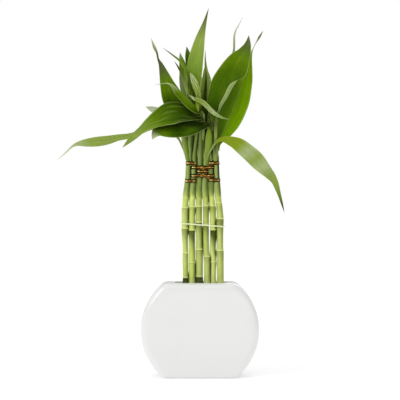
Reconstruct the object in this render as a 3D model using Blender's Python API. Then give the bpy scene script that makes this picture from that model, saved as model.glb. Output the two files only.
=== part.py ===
"""Potted dracaena: twelve leafy lucky bamboo stalks tied in a flat bundle, standing in a pebble bed in a
white ceramic moon vase. World units are metres, +Z up, and the origin is the centre of the vase's foot.
The lists of places below are in millimetres, and to_metres turns them into world points."""

import math
import random

import bpy
from mathutils import Vector

MM = 0.001
GAP = 0.3 * MM

# Vase: an upright disc with a flat foot and a flat top, slip-cast with one wall thickness.
VASE_RADIUS = 70 * MM
VASE_HEIGHT = 111 * MM
VASE_DEPTH = 54 * MM
VASE_WALL = 4.5 * MM
VASE_EDGE = 9 * MM
VASE_FOOT_EDGE = 2.5 * MM
VASE_CORNER = 14 * MM
FOOT_BLEND = 16 * MM
MOUTH_LENGTH = 64 * MM
MOUTH_WIDTH = 31 * MM
MOUTH_CORNER = 13 * MM

# Pebble bed: fills the vase to a little under its mouth.
BED_TOP = 98.5 * MM
PEBBLE_PITCH = 6.2 * MM
PEBBLE_RISE = 1.9 * MM
RELIEF_STEP = 2.7 * MM
PEBBLE_SEED = 11

# Bundle: two rows of six stalks, wide in the vase and drawn together at the ties.
COLUMNS = 6
BUNDLE_X = 3.1 * MM
STALK_FOOT = 9.3 * MM
STALK_SIDES = 8
NODE_RISE = 0.28 * MM
SHEATH_RADIUS = 3.25 * MM
SPEAR_END = 0.5 * MM
# Height, column pitch, row pitch and stalk radius, all in millimetres, from the foot up to the ties.
WAIST = ((9.3, 8.26, 8.6, 3.6), (110, 8.26, 8.6, 3.65), (188, 8.26, 8.6, 3.65), (205, 7.8, 8.0, 3.4),
         (222, 7.2, 7.3, 3.1), (232, 6.95, 7.0, 2.95), (243, 6.75, 6.8, 2.85), (256, 6.6, 6.8, 2.75))

# Ties: flat metallic twist ties, each a closed loop round some columns, in five levels.
TIE_HEIGHT = 4.2 * MM
TIE_THICK = 0.5 * MM
TIE_RIDGE = 0.35 * MM
TIE_CLEAR = 0.2 * MM
# Name, first column, last column, height of the middle in millimetres, and whether it shows its knot.
TIES = (("tie_top_left", 0, 1, 252.7, 0), ("tie_top_right", 4, 5, 252.9, 0), ("tie_upper", 1, 4, 247.7, -1),
        ("tie_middle", 2, 3, 242.9, 0), ("tie_lower", 1, 4, 237.7, 1),
        ("tie_bottom_left", 0, 1, 231.6, 0), ("tie_bottom_right", 4, 5, 232.6, 0))

# Rubber band: holds the whole bundle lower down, a little aslant.
BAND_Z = 179.2 * MM
BAND_SLOPE = math.radians(4.3)
BAND_HEIGHT = 1.6 * MM
BAND_THICK = 1.0 * MM

LEAF_THICK = 0.7 * MM
LEAF_END = 0.45 * MM
WIDE_LEAF = 5
STATION = 11.5 * MM

# Each stalk: its column and row, the heights of its node rings, the way its shoot leans above the ties, and its
# leaves. A leaf is a path of stations from inside the shoot to the tip, each with its place and half width, the ways
# its upper face looks at the base and at the tip, how far its halves fold up in degrees, and, where one margin rolls
# over, that side, the angle and the shares of the length between which it does.
FRONT, BACK = -0.5, 0.5
STALKS = {
    "stalk_front_1": dict(
        column=0, row=FRONT, nodes=(116.2, 145.2, 174.4, 199),
        shoot=((-17.6, -5.0, 272), (-19.8, -7.2, 290), (-21.4, -8.2, 308)),
        leaves=(
            dict(name="tall_left", face=((0.1, -1, 0.15), (0.35, -1, 0)), fold=8,
                 path=((-19.3, -6.6, 284, 2.4), (-21.8, -8.3, 299, 5.2), (-26, -9, 313, 10),
                       (-31, -9.3, 325, 12.8), (-34.4, -9.5, 334, 12.1), (-39.2, -9.5, 345.6, 9.1),
                       (-42.9, -9.5, 358, 6.4), (-46.6, -9.5, 369, 3.6), (-50, -9.5, 376, 1.6),
                       (-51.7, -9.5, 383.6, 1.5), (-54.4, -9.5, 390.4, 1.8), (-57.9, -9.5, 400.8, 0.5))),
        )),
    "stalk_front_2": dict(
        column=1, row=FRONT, nodes=(133.9, 172.6, 200),
        shoot=((-11.3, -5.2, 272), (-12.8, -7.3, 290), (-13.4, -8, 308)),
        leaves=(
            dict(name="needle_upper", face=((0.5, -0.7, 0.5), (0.4, -0.5, 0.8)), fold=22,
                 path=((-12.8, -7.5, 296, 2), (-13.2, -11, 309, 2.2), (-12.7, -14, 320, 2.4), (-11.6, -15.6, 332, 2.6),
                       (-11, -16, 343, 2.8), (-13.8, -16, 354, 3.2), (-19.4, -16, 365.4, 3.3),
                       (-24, -16, 372.4, 2.4), (-29, -16, 377, 1.4), (-36, -15.6, 382.8, 0.9),
                       (-44.5, -15, 389, 0.45))),
            dict(name="needle_lower", face=((0.6, -0.7, 0.3), (0.4, -0.6, 0.6)), fold=22,
                 path=((-12.6, -7.2, 292, 2), (-13.9, -11, 306, 2.2), (-14.3, -13.6, 318, 2.4),
                       (-14.6, -15, 330, 2.6), (-16.4, -15.4, 341, 2.7), (-20.2, -15.2, 352.4, 2.7),
                       (-24.2, -14.8, 361.6, 2.2), (-27.2, -14.5, 367.6, 1.4), (-30.4, -14, 372.8, 0.5))),
        )),
    "stalk_front_3": dict(
        column=2, row=FRONT, nodes=(117.6, 149.4, 181.8, 200.6),
        shoot=((-4.4, -5.4, 272), (-4.2, -7.6, 292), (-4.2, -8.6, 312)),
        leaves=(
            dict(name="tall_centre", face=((0.1, -1, 0.1), (-0.2, -1, 0.1)), fold=9,
                 path=((-4.3, -8.2, 296, 2.4), (-4.6, -9.6, 312, 3.6), (-5.6, -10.8, 327.4, 5.2),
                       (-7.2, -11.4, 339.7, 7), (-7.2, -11.6, 350, 8.2), (-6.4, -11.8, 361, 9.1),
                       (-5.7, -11.8, 369, 9.2), (-4.5, -11.8, 377.4, 8.7), (-2.1, -11.6, 389.3, 7.4),
                       (1.2, -11.2, 403.2, 5.2), (5.4, -10.6, 418.6, 2.4), (10.2, -10, 436, 0.45))),
            dict(name="young_centre", face=((0.6, -0.8, 0), (0.5, -0.8, 0.2)), fold=32,
                 path=((-4.2, -8.2, 300, 2), (-4, -9.4, 313, 2.4), (-2.4, -13.2, 324.5, 3.2), (-2.2, -17, 334, 3.6),
                       (-5.2, -20.2, 342, 3.6), (-8.2, -21.4, 350, 3), (-11.4, -21.8, 357.4, 1))),
            dict(name="crossing_right", face=((-0.3, -0.8, 0.5), (0.5, -0.6, 0.7)), fold=20,
                 path=((-4.2, -8.2, 303, 2), (-5.2, -11.4, 314, 2), (-7.6, -16.6, 322.6, 1.8), (-8.6, -20.4, 328.4, 2),
                       (-4.2, -22, 328.4, 3.6), (3.4, -23.5, 322.2, 4.4), (13.6, -24.5, 312.6, 3.8),
                       (23, -25, 306.2, 2.2), (34, -25.4, 303.2, 0.5))),
        )),
    "stalk_front_4": dict(
        column=3, row=FRONT, nodes=(141, 179, 201.2),
        shoot=((2.7, -5.4, 272), (2.9, -8.2, 292), (3.5, -9.6, 314)),
        leaves=(
            dict(name="broad_left", face=((0, -0.9, 0.45), (0.1, -0.9, 0.4)), fold=8,
                 path=((3.2, -9.2, 302, 2), (3.8, -13.4, 304.6, 2.4), (-2.4, -17, 306.8, 4.4), (-11.8, -20, 309.5, 9),
                       (-23.5, -22, 311, 14), (-35.2, -24, 309.2, 16), (-46.8, -27, 305, 12.8),
                       (-58.4, -30, 298.4, 8.4), (-67.6, -33, 291.4, 5.2), (-76.8, -36, 282.7, 3.8),
                       (-83.6, -38, 276.1, 2.3), (-90, -40, 269.6, 0.5))),
            dict(name="folded_left", face=((-0.4, -0.8, 0.5), (0, -0.4, 0.9)), fold=30,
                 path=((3.3, -9.4, 307, 2), (0.6, -14.5, 310.6, 2.6), (-4.8, -18.6, 313, 4.2),
                       (-11.7, -21.6, 318.2, 5.4), (-18.8, -23, 324.4, 6), (-25.8, -24, 331.8, 5.6),
                       (-31.1, -24.6, 339, 4.2), (-35.4, -25, 343.8, 2.4), (-41.6, -25, 345.2, 1.5),
                       (-53.5, -25, 343.6, 0.5))),
        )),
    "stalk_front_5": dict(
        column=4, row=FRONT, nodes=(134.5, 173, 201.2),
        shoot=((10.7, -5.6, 272), (11.2, -7.2, 290), (10.8, -7, 307)),
        leaves=(
            dict(name="hanging_right", face=((-0.3, -0.9, 0.5), (0.45, -0.55, 0.7)), fold=8,
                 path=((10.6, -5, 260.5, 2.4), (10.6, -9.4, 266, 2.5), (13.4, -12.6, 271.5, 2.8),
                       (19.4, -14.6, 277.6, 3.6), (27, -16.8, 280.2, 4.8), (36, -19.3, 277.9, 6.8),
                       (46, -21.4, 273.2, 9.2), (56.9, -24, 264.6, 10.6), (65.8, -27, 256.1, 10.4),
                       (75.4, -30, 245.5, 9), (82, -32, 237.3, 7), (86.7, -34, 229.9, 5.2), (89.8, -35.6, 222, 4),
                       (92.6, -37, 213, 3), (95.2, -38.2, 203.6, 1.9), (98, -39, 194.2, 0.5))),
            dict(name="dark_left", face=((-0.3, -0.9, 0.3), (0.1, -0.95, 0.3)), fold=6,
                 path=((11.2, -7, 286, 2), (13.8, -12.2, 292.6, 2.4), (11, -16, 297, 3), (4.7, -18, 296.6, 4.6),
                       (-2.4, -19, 295.5, 7.4), (-11.8, -20, 294.5, 10.6), (-23.5, -22, 293.4, 12.2),
                       (-35.2, -24, 292.4, 11.8), (-46.8, -27, 290, 8.8), (-52.8, -29, 286.4, 5.2),
                       (-55.8, -30, 279.6, 0.6))),
        )),
    "stalk_front_6": dict(
        column=5, row=FRONT, nodes=(148.4, 186, 204.7),
        shoot=((18.8, -4.6, 266), (18.9, -6.3, 284), (18.6, -7.2, 304)),
        leaves=(
            dict(name="bright_right", face=((0.25, -1, 0.1), (0.1, -1, 0.1)), fold=8,
                 path=((19.3, -4.8, 266, 2.4), (21.6, -6.6, 277, 4), (27.2, -6.8, 288, 9.4), (32.4, -6, 300, 13.8),
                       (38.2, -5, 314, 15.6), (44.4, -4, 330, 15.2), (49.6, -3.2, 347, 12.8),
                       (54.2, -2.5, 363.7, 8.8), (58.2, -2, 378, 4), (62.4, -1.6, 387.6, 1.1), (66.6, -1.2, 396, 0.9),
                       (71, -0.8, 403.4, 1.6), (75.4, -0.5, 411, 0.45))),
            dict(name="broad_right", face=((-0.2, -1, 0.1), (-0.25, -0.95, 0.1)), fold=5, roll=(1, 150, 0.08, 0.66),
                 path=((19.2, -6.9, 290, 2.4), (17.7, -10.5, 305.8, 5.4), (20.1, -13, 321.2, 12.8),
                       (25.5, -14.5, 333.2, 16.8), (30.5, -15, 344.6, 18.4), (36.4, -15, 355, 17.6),
                       (42.3, -15, 366, 15.4), (47.2, -14.8, 374.9, 12.6), (52, -14.5, 382.5, 8.5),
                       (56.2, -14, 392.3, 4.2), (57.8, -13.5, 403.6, 0.5))),
        )),
    "stalk_back_1": dict(
        column=0, row=BACK, nodes=(128, 163, 192),
        shoot=((-15.6, 5.8, 272), (-18.6, 9.4, 292), (-20.6, 11.4, 310)),
        leaves=(
            dict(name="long_left", face=((-0.5, -0.4, 0.8), (0.1, -0.75, 0.65)), fold=10,
                 path=((-15.4, 5, 258, 2.4), (-20, 7, 270.6, 2.6), (-25.6, 7.6, 282.4, 2.6),
                       (-33.6, 7.4, 290.6, 2.4), (-44, 6.4, 295.2, 2.3), (-57.5, 5, 294.6, 2.4),
                       (-70, 3.6, 290, 3), (-83.7, 2, 285.4, 3.8), (-97.9, 0, 283, 4.7), (-109.7, -2, 280.4, 5.8),
                       (-123.8, -4, 278.6, 6.2), (-135.5, -6, 277.4, 4.8), (-144.8, -8, 276, 2.7),
                       (-151.8, -9.5, 272.1, 1.3), (-159.8, -12, 264.2, 0.8), (-168.4, -14.5, 256.4, 0.45))),
            dict(name="pale_left", face=((-0.2, -0.5, 0.9), (0.3, -0.8, 0.5)), fold=10,
                 path=((-19, 9.6, 293, 2.2), (-23, 12.6, 302, 4), (-31, 14.8, 308, 6.4), (-41, 15, 311.6, 7),
                       (-50.4, 14.6, 315, 5.6), (-58.6, 14, 318.6, 3.6), (-65.6, 13.6, 321.4, 0.5))),
            dict(name="rear_left", face=((-0.3, 0.4, 0.9), (-0.1, 0.7, 0.6)), fold=8,
                 path=((-17.8, 8.3, 284, 2.4), (-22, 15, 296, 5), (-27, 26, 309, 8.6), (-31, 40, 317, 9),
                       (-34, 56, 318, 6.8), (-36.5, 72, 312, 3.4), (-38, 84, 303, 0.5))),
        )),
    "stalk_back_2": dict(
        column=1, row=BACK, nodes=(120, 152, 184, 202),
        shoot=((-8.4, 6.6, 272), (-9.8, 10.8, 292), (-11, 13.4, 312)),
        leaves=(
            dict(name="dark_upright", face=((0.3, -1, 0), (-0.4, -0.9, 0)), fold=14,
                 path=((-10.2, 11.6, 297, 2.2), (-12.6, 10.4, 313, 3.6), (-16, 7.4, 328.7, 4.6), (-18, 5.4, 340, 5.4),
                       (-19.2, 5, 351, 5.6), (-19.4, 5, 362.3, 5.2), (-20.8, 5, 372, 4.2), (-22.8, 5, 380.3, 2.2),
                       (-24, 5, 386, 0.6))),
            dict(name="rear_high", face=((-0.2, 0.5, 0.9), (0, 0.8, 0.5)), fold=8,
                 path=((-10, 11.2, 294, 2.4), (-13, 20, 308, 5), (-16, 32, 322, 9), (-19, 46, 332, 9.6),
                       (-21, 62, 335, 7), (-23, 78, 330, 3.6), (-24, 90, 322, 0.5))),
            dict(name="rear_low", face=((-0.1, 0.4, 0.9), (0, 0.85, 0.5)), fold=8,
                 path=((-8.7, 7.4, 275, 2.4), (-10, 15, 286, 4.6), (-12, 27, 293, 7.6), (-13.5, 42, 292, 8.4),
                       (-14.5, 56, 284, 6.8), (-15.5, 68, 272, 3.6), (-16, 76, 260, 0.5))),
        )),
    "stalk_back_3": dict(
        column=2, row=BACK, nodes=(139, 170, 198),
        shoot=((-1.4, 6.8, 272), (-2.2, 11.4, 292), (-3, 14.4, 314)),
        leaves=(
            dict(name="tip_upright", face=((0.2, -1, 0), (-0.3, -1, 0)), fold=12,
                 path=((-2.8, 12.6, 300, 2.2), (-5, 12.6, 315, 3.6), (-7.2, 12, 329.2, 4.4), (-9.6, 11.2, 353.2, 5.2),
                       (-12, 10.6, 371, 4.9), (-13.9, 10.3, 381, 4), (-15.1, 10.1, 388, 2.1),
                       (-16, 10, 393.4, 0.45))),
            dict(name="rear_tall", face=((0, 0.8, 0.6), (0, 0.9, 0.4)), fold=8,
                 path=((-2.8, 13.4, 303, 2.4), (-3.2, 18.4, 320, 5), (-4.2, 26, 338, 7.8), (-5.2, 36, 355, 8.2),
                       (-6, 48, 370, 6.4), (-6, 60, 381, 3.4), (-5, 70, 388, 0.5))),
            dict(name="rear_middle", face=((0, 0.4, 0.9), (0, 0.85, 0.5)), fold=8,
                 path=((-1.9, 9.8, 284, 2.4), (-1.5, 19, 298, 4.8), (0, 33, 308, 8.4), (1.5, 50, 311, 9),
                       (3, 67, 307, 7), (4, 84, 297, 3.8), (4.5, 96, 286, 0.5))),
        )),
    "stalk_back_4": dict(
        column=3, row=BACK, nodes=(125, 158, 190),
        shoot=((6, 6.8, 272), (6.2, 11.4, 292), (6.6, 14, 314)),
        leaves=(
            dict(name="inner_upright", face=((0.5, -0.9, 0), (0.4, -0.9, 0)), fold=14,
                 path=((6.4, 12.4, 300, 2.2), (7.2, 10.6, 316.8, 4.4), (7.8, 8.4, 332.4, 5.2), (8.4, 6.8, 346.8, 5.2),
                       (8.4, 6.2, 358.8, 4.8), (8, 6, 369.6, 3), (7.2, 6, 379.2, 1.5), (6.8, 6, 388.4, 0.5))),
            dict(name="rear_high", face=((0.2, 0.5, 0.9), (0, 0.8, 0.5)), fold=8,
                 path=((6.2, 12, 295, 2.4), (9, 21, 312, 5), (12.5, 33, 328, 9), (16, 47, 339, 9.6),
                       (19, 62, 344, 7.2), (21.5, 77, 343, 3.6), (23, 88, 339, 0.5))),
            dict(name="rear_low", face=((0.1, 0.4, 0.9), (0, 0.85, 0.5)), fold=8,
                 path=((6, 7.8, 276, 2.4), (7.5, 16, 288, 4.8), (9.5, 28, 295, 7.6), (11, 43, 294, 8.2),
                       (12, 57, 286, 6.4), (12.5, 70, 274, 3.4), (12.8, 79, 262, 0.5))),
        )),
    "stalk_back_5": dict(
        column=4, row=BACK, nodes=(133, 166, 195),
        shoot=((14.6, 6.4, 272), (15.8, 10.6, 290), (16.6, 13, 308)),
        leaves=(
            dict(name="edge_on", face=((1, -0.4, 0), (1, -0.35, 0.1)), fold=10,
                 path=((16.2, 11.8, 298, 2.2), (18.6, 11.4, 315, 3.6), (23.4, 10.2, 335, 4.2), (29.4, 8.8, 354, 4),
                       (36, 7.4, 372, 2.8), (40.2, 6, 387.1, 1.7), (40.7, 5.6, 397, 1.4), (41, 5.2, 405.4, 1.2),
                       (43, 5, 412.6, 1), (46.6, 4.8, 419.1, 0.8), (50.9, 4.5, 427.8, 0.45))),
            dict(name="rear_right", face=((0.3, 0.5, 0.9), (0.2, 0.8, 0.5)), fold=8,
                 path=((15.6, 10.2, 289, 2.4), (19.5, 18, 303, 5), (25, 29, 315, 8.8), (30, 43, 322, 9.2),
                       (34.5, 58, 323, 7), (38, 73, 318, 3.6), (40, 84, 311, 0.5))),
        )),
    "stalk_back_6": dict(
        column=5, row=BACK, nodes=(122, 155, 187, 203),
        shoot=((20.4, 6, 270), (24.6, 9.6, 288), (28, 12, 306)),
        leaves=(
            dict(name="hidden_right", face=((0.3, 0.6, 0.7), (0.2, 0.8, 0.5)), fold=8,
                 path=((25.8, 10, 290, 2.4), (31, 15, 306, 5.6), (36.5, 22, 323, 9), (41, 30, 340, 9.6),
                       (44, 38, 356, 7.4), (45.5, 46, 370, 3.8), (46, 52, 380, 0.5))),
        )),
}


def to_metres(point):
    """A world point from a place in millimetres."""
    return Vector(point) * MM


def clear_scene():
    for thing in list(bpy.data.objects):
        bpy.data.objects.remove(thing, do_unlink=True)


def material(name, colour, roughness, metallic=0.0):
    """A Principled material in one plain colour."""
    made = bpy.data.materials.new(name)
    made.use_nodes = True
    shader = made.node_tree.nodes["Principled BSDF"]
    shader.inputs["Base Color"].default_value = (*colour, 1)
    shader.inputs["Roughness"].default_value = roughness
    shader.inputs["Metallic"].default_value = metallic
    return made


def add_object(name, points, faces, paint=None, smooth=True):
    """A mesh object in the scene from its points and faces."""
    mesh = bpy.data.meshes.new(name)
    mesh.from_pydata([tuple(point) for point in points], [], faces)
    if paint:
        mesh.materials.append(paint)
    if smooth:
        mesh.shade_smooth()
        mesh.set_sharp_from_angle(angle=math.radians(40))
    made = bpy.data.objects.new(name, mesh)
    bpy.context.scene.collection.objects.link(made)
    return made


def hide_helper(helper):
    """Marks an object as a cutter, which the model leaves out."""
    helper.hide_render = True
    helper.display_type = "WIRE"


def boolean(target, helper, operation):
    step = target.modifiers.new(f"{operation.lower()}_{helper.name}", "BOOLEAN")
    step.operation = operation
    step.solver = "EXACT"
    step.object = helper
    hide_helper(helper)


def bake_shape(thing):
    """Puts an object's evaluated mesh in place of its modifiers."""
    graph = bpy.context.evaluated_depsgraph_get()
    baked = bpy.data.meshes.new_from_object(thing.evaluated_get(graph))
    thing.modifiers.clear()
    thing.data = baked


def fuse(body, parts):
    """One Boolean union of body with all the parts, applied, and the parts removed."""
    group = bpy.data.collections.new(body.name + "_parts")
    bpy.context.scene.collection.children.link(group)
    for part in parts:
        bpy.context.scene.collection.objects.unlink(part)
        group.objects.link(part)
    union = body.modifiers.new("union", "BOOLEAN")
    union.operation = "UNION"
    union.solver = "MANIFOLD"
    union.operand_type = "COLLECTION"
    union.collection = group
    bake_shape(body)
    for part in parts:
        bpy.data.objects.remove(part, do_unlink=True)
    bpy.data.collections.remove(group)


def smooth_step(share):
    share = min(1.0, max(0.0, share))
    return share * share * (3 - 2 * share)


def spline(points, share):
    """A point on the smooth curve through the points, share running from 0 to 1 evenly over their spans."""
    spans = len(points) - 1
    at = min(max(share, 0.0), 1.0) * spans
    i = min(int(at), spans - 1)
    f = at - i
    p1, p2 = points[i], points[i + 1]
    p0 = points[i - 1] if i else p1 * 2 - p2
    p3 = points[i + 2] if i + 2 <= spans else p2 * 2 - p1
    return 0.5 * (2 * p1 + (p2 - p0) * f + (2 * p0 - 5 * p1 + 4 * p2 - p3) * f * f
                  + (3 * p1 - p0 - 3 * p2 + p3) * f ** 3)


def even_stations(points, widths, count):
    """count + 1 points of the curve, spaced evenly along its length, with the width that belongs to each."""
    fine = [spline(points, k / 240) for k in range(241)]
    broad = [max(spline(widths, k / 240), LEAF_END) for k in range(241)]
    run = [0.0]
    for before, after in zip(fine, fine[1:]):
        run.append(run[-1] + (after - before).length)
    places, halves = [], []
    k = 0
    for station in range(count + 1):
        goal = run[-1] * station / count
        while k < len(run) - 2 and run[k + 1] < goal:
            k += 1
        inside = (goal - run[k]) / max(run[k + 1] - run[k], 1e-12)
        places.append(fine[k].lerp(fine[k + 1], inside))
        halves.append(broad[k] + (broad[k + 1] - broad[k]) * inside)
    return places, halves


def skin(rings):
    """Points and faces that join rings of points one after another, with a cap on each end."""
    count = len(rings[0])
    points = [point for ring in rings for point in ring]
    faces = []
    for level in range(len(rings) - 1):
        low, high = level * count, (level + 1) * count
        for k in range(count):
            n = (k + 1) % count
            faces.append((low + k, low + n, high + n, high + k))
    faces.append(tuple(reversed(range(count))))
    faces.append(tuple(range((len(rings) - 1) * count, len(rings) * count)))
    return points, faces


def disc_outline(radius, low, high, corner, arc_steps, corner_steps):
    """Points and outward normals, in XZ, of an upright disc cut flat at low and high, with round corners."""
    middle = VASE_HEIGHT / 2
    corners = []
    for side, level in ((1, low - middle), (1, high - middle), (-1, high - middle), (-1, low - middle)):
        turn = 1 if level > 0 else -1
        centre = Vector((0, 0, level - turn * corner))
        centre.x = side * math.sqrt((radius - corner) ** 2 - centre.z ** 2)
        touch = math.atan2(centre.z, abs(centre.x))
        upright = math.radians(90) * turn
        first, last = (touch, upright) if side == turn else (upright, touch)
        corners.append((side, centre, first, last))
    outline = []
    for index, (side, centre, first, last) in enumerate(corners):
        for k in range(corner_steps + 1):
            angle = first + (last - first) * k / corner_steps
            normal = Vector((side * math.cos(angle), 0, math.sin(angle)))
            outline.append((Vector((centre.x, 0, middle + centre.z)) + normal * corner, normal))
        if index in (0, 2):
            upper_first = corners[index + 1][2]
            for k in range(1, arc_steps):
                angle = last + (upper_first - last) * k / arc_steps
                normal = Vector((side * math.cos(angle), 0, math.sin(angle)))
                outline.append((Vector((0, 0, middle)) + normal * radius, normal))
    return outline


def disc_body(name, radius, low, high, depth, edge, foot_edge, corner, steps, paint=None):
    """A closed upright disc: its outline drawn in at the front and back by a round edge, tighter at the foot."""
    arc_steps, corner_steps, edge_steps = steps
    outline = disc_outline(radius, low, high, corner, arc_steps, corner_steps)
    rings = []
    turns = [math.radians(90) * k / edge_steps for k in range(edge_steps + 1)]
    for side, angles in ((-1, reversed(turns)), (1, turns)):
        for angle in angles:
            ring = []
            for point, normal in outline:
                round_edge = foot_edge + (edge - foot_edge) * smooth_step((point.z - low) / FOOT_BLEND)
                inset = round_edge * (1 - math.cos(angle))
                out = depth / 2 - round_edge * (1 - math.sin(angle))
                ring.append(point - normal * inset + Vector((0, side * out, 0)))
            rings.append(ring)
    points, faces = skin(rings)
    return add_object(name, points, [tuple(reversed(face)) for face in faces], paint)


def rounded_loop(half_x, half_y, corner, corner_steps):
    """Points of a rectangle with round corners, counter-clockwise from above, as (x, y)."""
    found = []
    for quarter, (sx, sy) in enumerate(((1, 1), (-1, 1), (-1, -1), (1, -1))):
        for k in range(corner_steps + 1):
            angle = math.radians(90) * (quarter + k / corner_steps)
            found.append((sx * (half_x - corner) + corner * math.cos(angle),
                          sy * (half_y - corner) + corner * math.sin(angle)))
    return found


def prism(name, loop, low, high):
    rings = [[Vector((x, y, z)) for x, y in loop] for z in (low, high)]
    points, faces = skin(rings)
    return add_object(name, points, faces)


def build_vase(paint):
    vase = disc_body("moon_vase", VASE_RADIUS, 0, VASE_HEIGHT, VASE_DEPTH, VASE_EDGE, VASE_FOOT_EDGE,
                     VASE_CORNER, (14, 4, 4), paint)
    hollow = disc_body("vase_hollow", VASE_RADIUS - VASE_WALL, VASE_WALL, VASE_HEIGHT - VASE_WALL,
                       VASE_DEPTH - 2 * VASE_WALL, VASE_EDGE - VASE_WALL, VASE_EDGE - VASE_WALL,
                       VASE_CORNER - VASE_WALL, (10, 2, 2))
    mouth = prism("vase_mouth", rounded_loop(MOUTH_LENGTH / 2, MOUTH_WIDTH / 2, MOUTH_CORNER, 5),
                  VASE_HEIGHT - 2 * VASE_WALL, VASE_HEIGHT + VASE_WALL)
    boolean(vase, hollow, "DIFFERENCE")
    boolean(vase, mouth, "DIFFERENCE")


def pebble_height(x, y, pebbles):
    """Height of the pebbled surface over the bed: the highest of the round stones at this place."""
    best = 0.0
    for px, py, size in pebbles:
        away = math.hypot(x - px, y - py) / size
        if away < 1:
            best = max(best, math.sqrt(1 - away * away) * size / PEBBLE_PITCH * 2)
    return BED_TOP + GAP + PEBBLE_RISE * best


def build_bed(paint):
    """Pebbles and water, as one solid with a pebbled top in the mouth and a plain hole for each stalk."""
    bed = disc_body("pebble_bed", VASE_RADIUS - VASE_WALL - GAP, VASE_WALL + GAP, BED_TOP,
                    VASE_DEPTH - 2 * (VASE_WALL + GAP), VASE_EDGE - VASE_WALL, VASE_EDGE - VASE_WALL,
                    VASE_CORNER - VASE_WALL, (10, 2, 2), paint)
    draw = random.Random(PEBBLE_SEED)
    half_x, half_y = MOUTH_LENGTH / 2 + GAP, MOUTH_WIDTH / 2 + GAP
    pebbles = []
    for row in range(-3, 4):
        for column in range(-6, 7):
            x = (column + 0.5 * (row % 2)) * PEBBLE_PITCH + draw.uniform(-0.9, 0.9) * MM
            y = row * PEBBLE_PITCH * 0.87 + draw.uniform(-0.9, 0.9) * MM
            pebbles.append((x, y, PEBBLE_PITCH * draw.uniform(0.46, 0.58)))
    across = round(2 * half_x / RELIEF_STEP)
    along = round(2 * half_y / RELIEF_STEP)
    points, faces = [], []
    for j in range(along + 1):
        for i in range(across + 1):
            x = -half_x + 2 * half_x * i / across
            y = -half_y + 2 * half_y * j / along
            points.append(Vector((x, y, pebble_height(x, y, pebbles))))
    for j in range(along):
        for i in range(across):
            a = j * (across + 1) + i
            faces += [(a, a + 1, a + across + 2), (a, a + across + 2, a + across + 1)]
    rim = [i for i in range(across + 1)]
    rim += [j * (across + 1) + across for j in range(1, along + 1)]
    rim += [along * (across + 1) + i for i in range(across - 1, -1, -1)]
    rim += [j * (across + 1) for j in range(along - 1, 0, -1)]
    floor = len(points)
    points += [Vector((points[k].x, points[k].y, BED_TOP - 4 * MM)) for k in rim]
    for k, top in enumerate(rim):
        n = (k + 1) % len(rim)
        faces.append((top, floor + k, floor + n, rim[n]))
    faces.append(tuple(floor + k for k in reversed(range(len(rim)))))
    relief = add_object("bed_relief", points, faces)
    boolean(bed, relief, "UNION")
    for column in range(COLUMNS):
        for row in (FRONT, BACK):
            hole = stalk_hole(column, row)
            boolean(bed, hole, "DIFFERENCE")


def waist_at(height):
    """Column pitch, row pitch and stalk radius at a height, all in metres."""
    level = height / MM
    for low, high in zip(WAIST, WAIST[1:]):
        if level <= high[0]:
            share = smooth_step((level - low[0]) / (high[0] - low[0]))
            return [(low[k] + (high[k] - low[k]) * share) * MM for k in (1, 2, 3)]
    return [WAIST[-1][k] * MM for k in (1, 2, 3)]


def stalk_place(column, row, height):
    """Centre of a stalk at a height below the top of the ties."""
    pitch, row_pitch, _ = waist_at(height)
    return Vector((BUNDLE_X + (column - (COLUMNS - 1) / 2) * pitch, row * row_pitch, height))


def polygon_ring(centre, radius):
    """A level ring of points with flats to the front, back and sides."""
    half_side = math.radians(180) / STALK_SIDES
    return [centre + Vector((radius * math.cos(half_side + 2 * half_side * k),
                             radius * math.sin(half_side + 2 * half_side * k), 0)) for k in range(STALK_SIDES)]


def stalk_hole(column, row):
    centre = stalk_place(column, row, STALK_FOOT)
    low = Vector((centre.x, centre.y, STALK_FOOT - GAP))
    high = Vector((centre.x, centre.y, BED_TOP + 4 * PEBBLE_RISE))
    radius = WAIST[1][3] * MM + GAP
    points, faces = skin([polygon_ring(low, radius), polygon_ring(high, radius)])
    return add_object(f"hole_{column}_{'front' if row < 0 else 'back'}", points, faces)


def cane(name, spec, paint):
    """The stalk itself: a ringed cane up to the ties, then a shoot that leans and narrows to a rolled spear."""
    column, row = spec["column"], spec["row"]
    levels = []
    for node in spec["nodes"]:
        levels += [(node - 1.2, 0), (node - 0.2, 1), (node + 0.5, 1), (node + 1.5, 0)]
    plain = [height for height, *_ in WAIST if all(abs(height - node) > 4 for node in spec["nodes"])]
    levels += [(height, 0) for height in plain]
    rings = []
    for level, swollen in sorted(levels):
        height = level * MM
        radius = waist_at(height)[2] + NODE_RISE * swollen
        rings.append(polygon_ring(stalk_place(column, row, height), radius))
    tied = stalk_place(column, row, WAIST[-1][0] * MM)
    below = stalk_place(column, row, WAIST[-2][0] * MM)
    route = [below, tied] + [to_metres(p) for p in spec["shoot"]]
    for share, radius in ((0.34, SHEATH_RADIUS), (0.5, SHEATH_RADIUS), (0.66, SHEATH_RADIUS * 0.95),
                          (0.83, SHEATH_RADIUS * 0.8), (0.93, SHEATH_RADIUS * 0.55), (1, SPEAR_END)):
        rings.append(polygon_ring(spline(route, share), radius))
    points, faces = skin(rings)
    return add_object(name, points, faces, paint)


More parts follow.
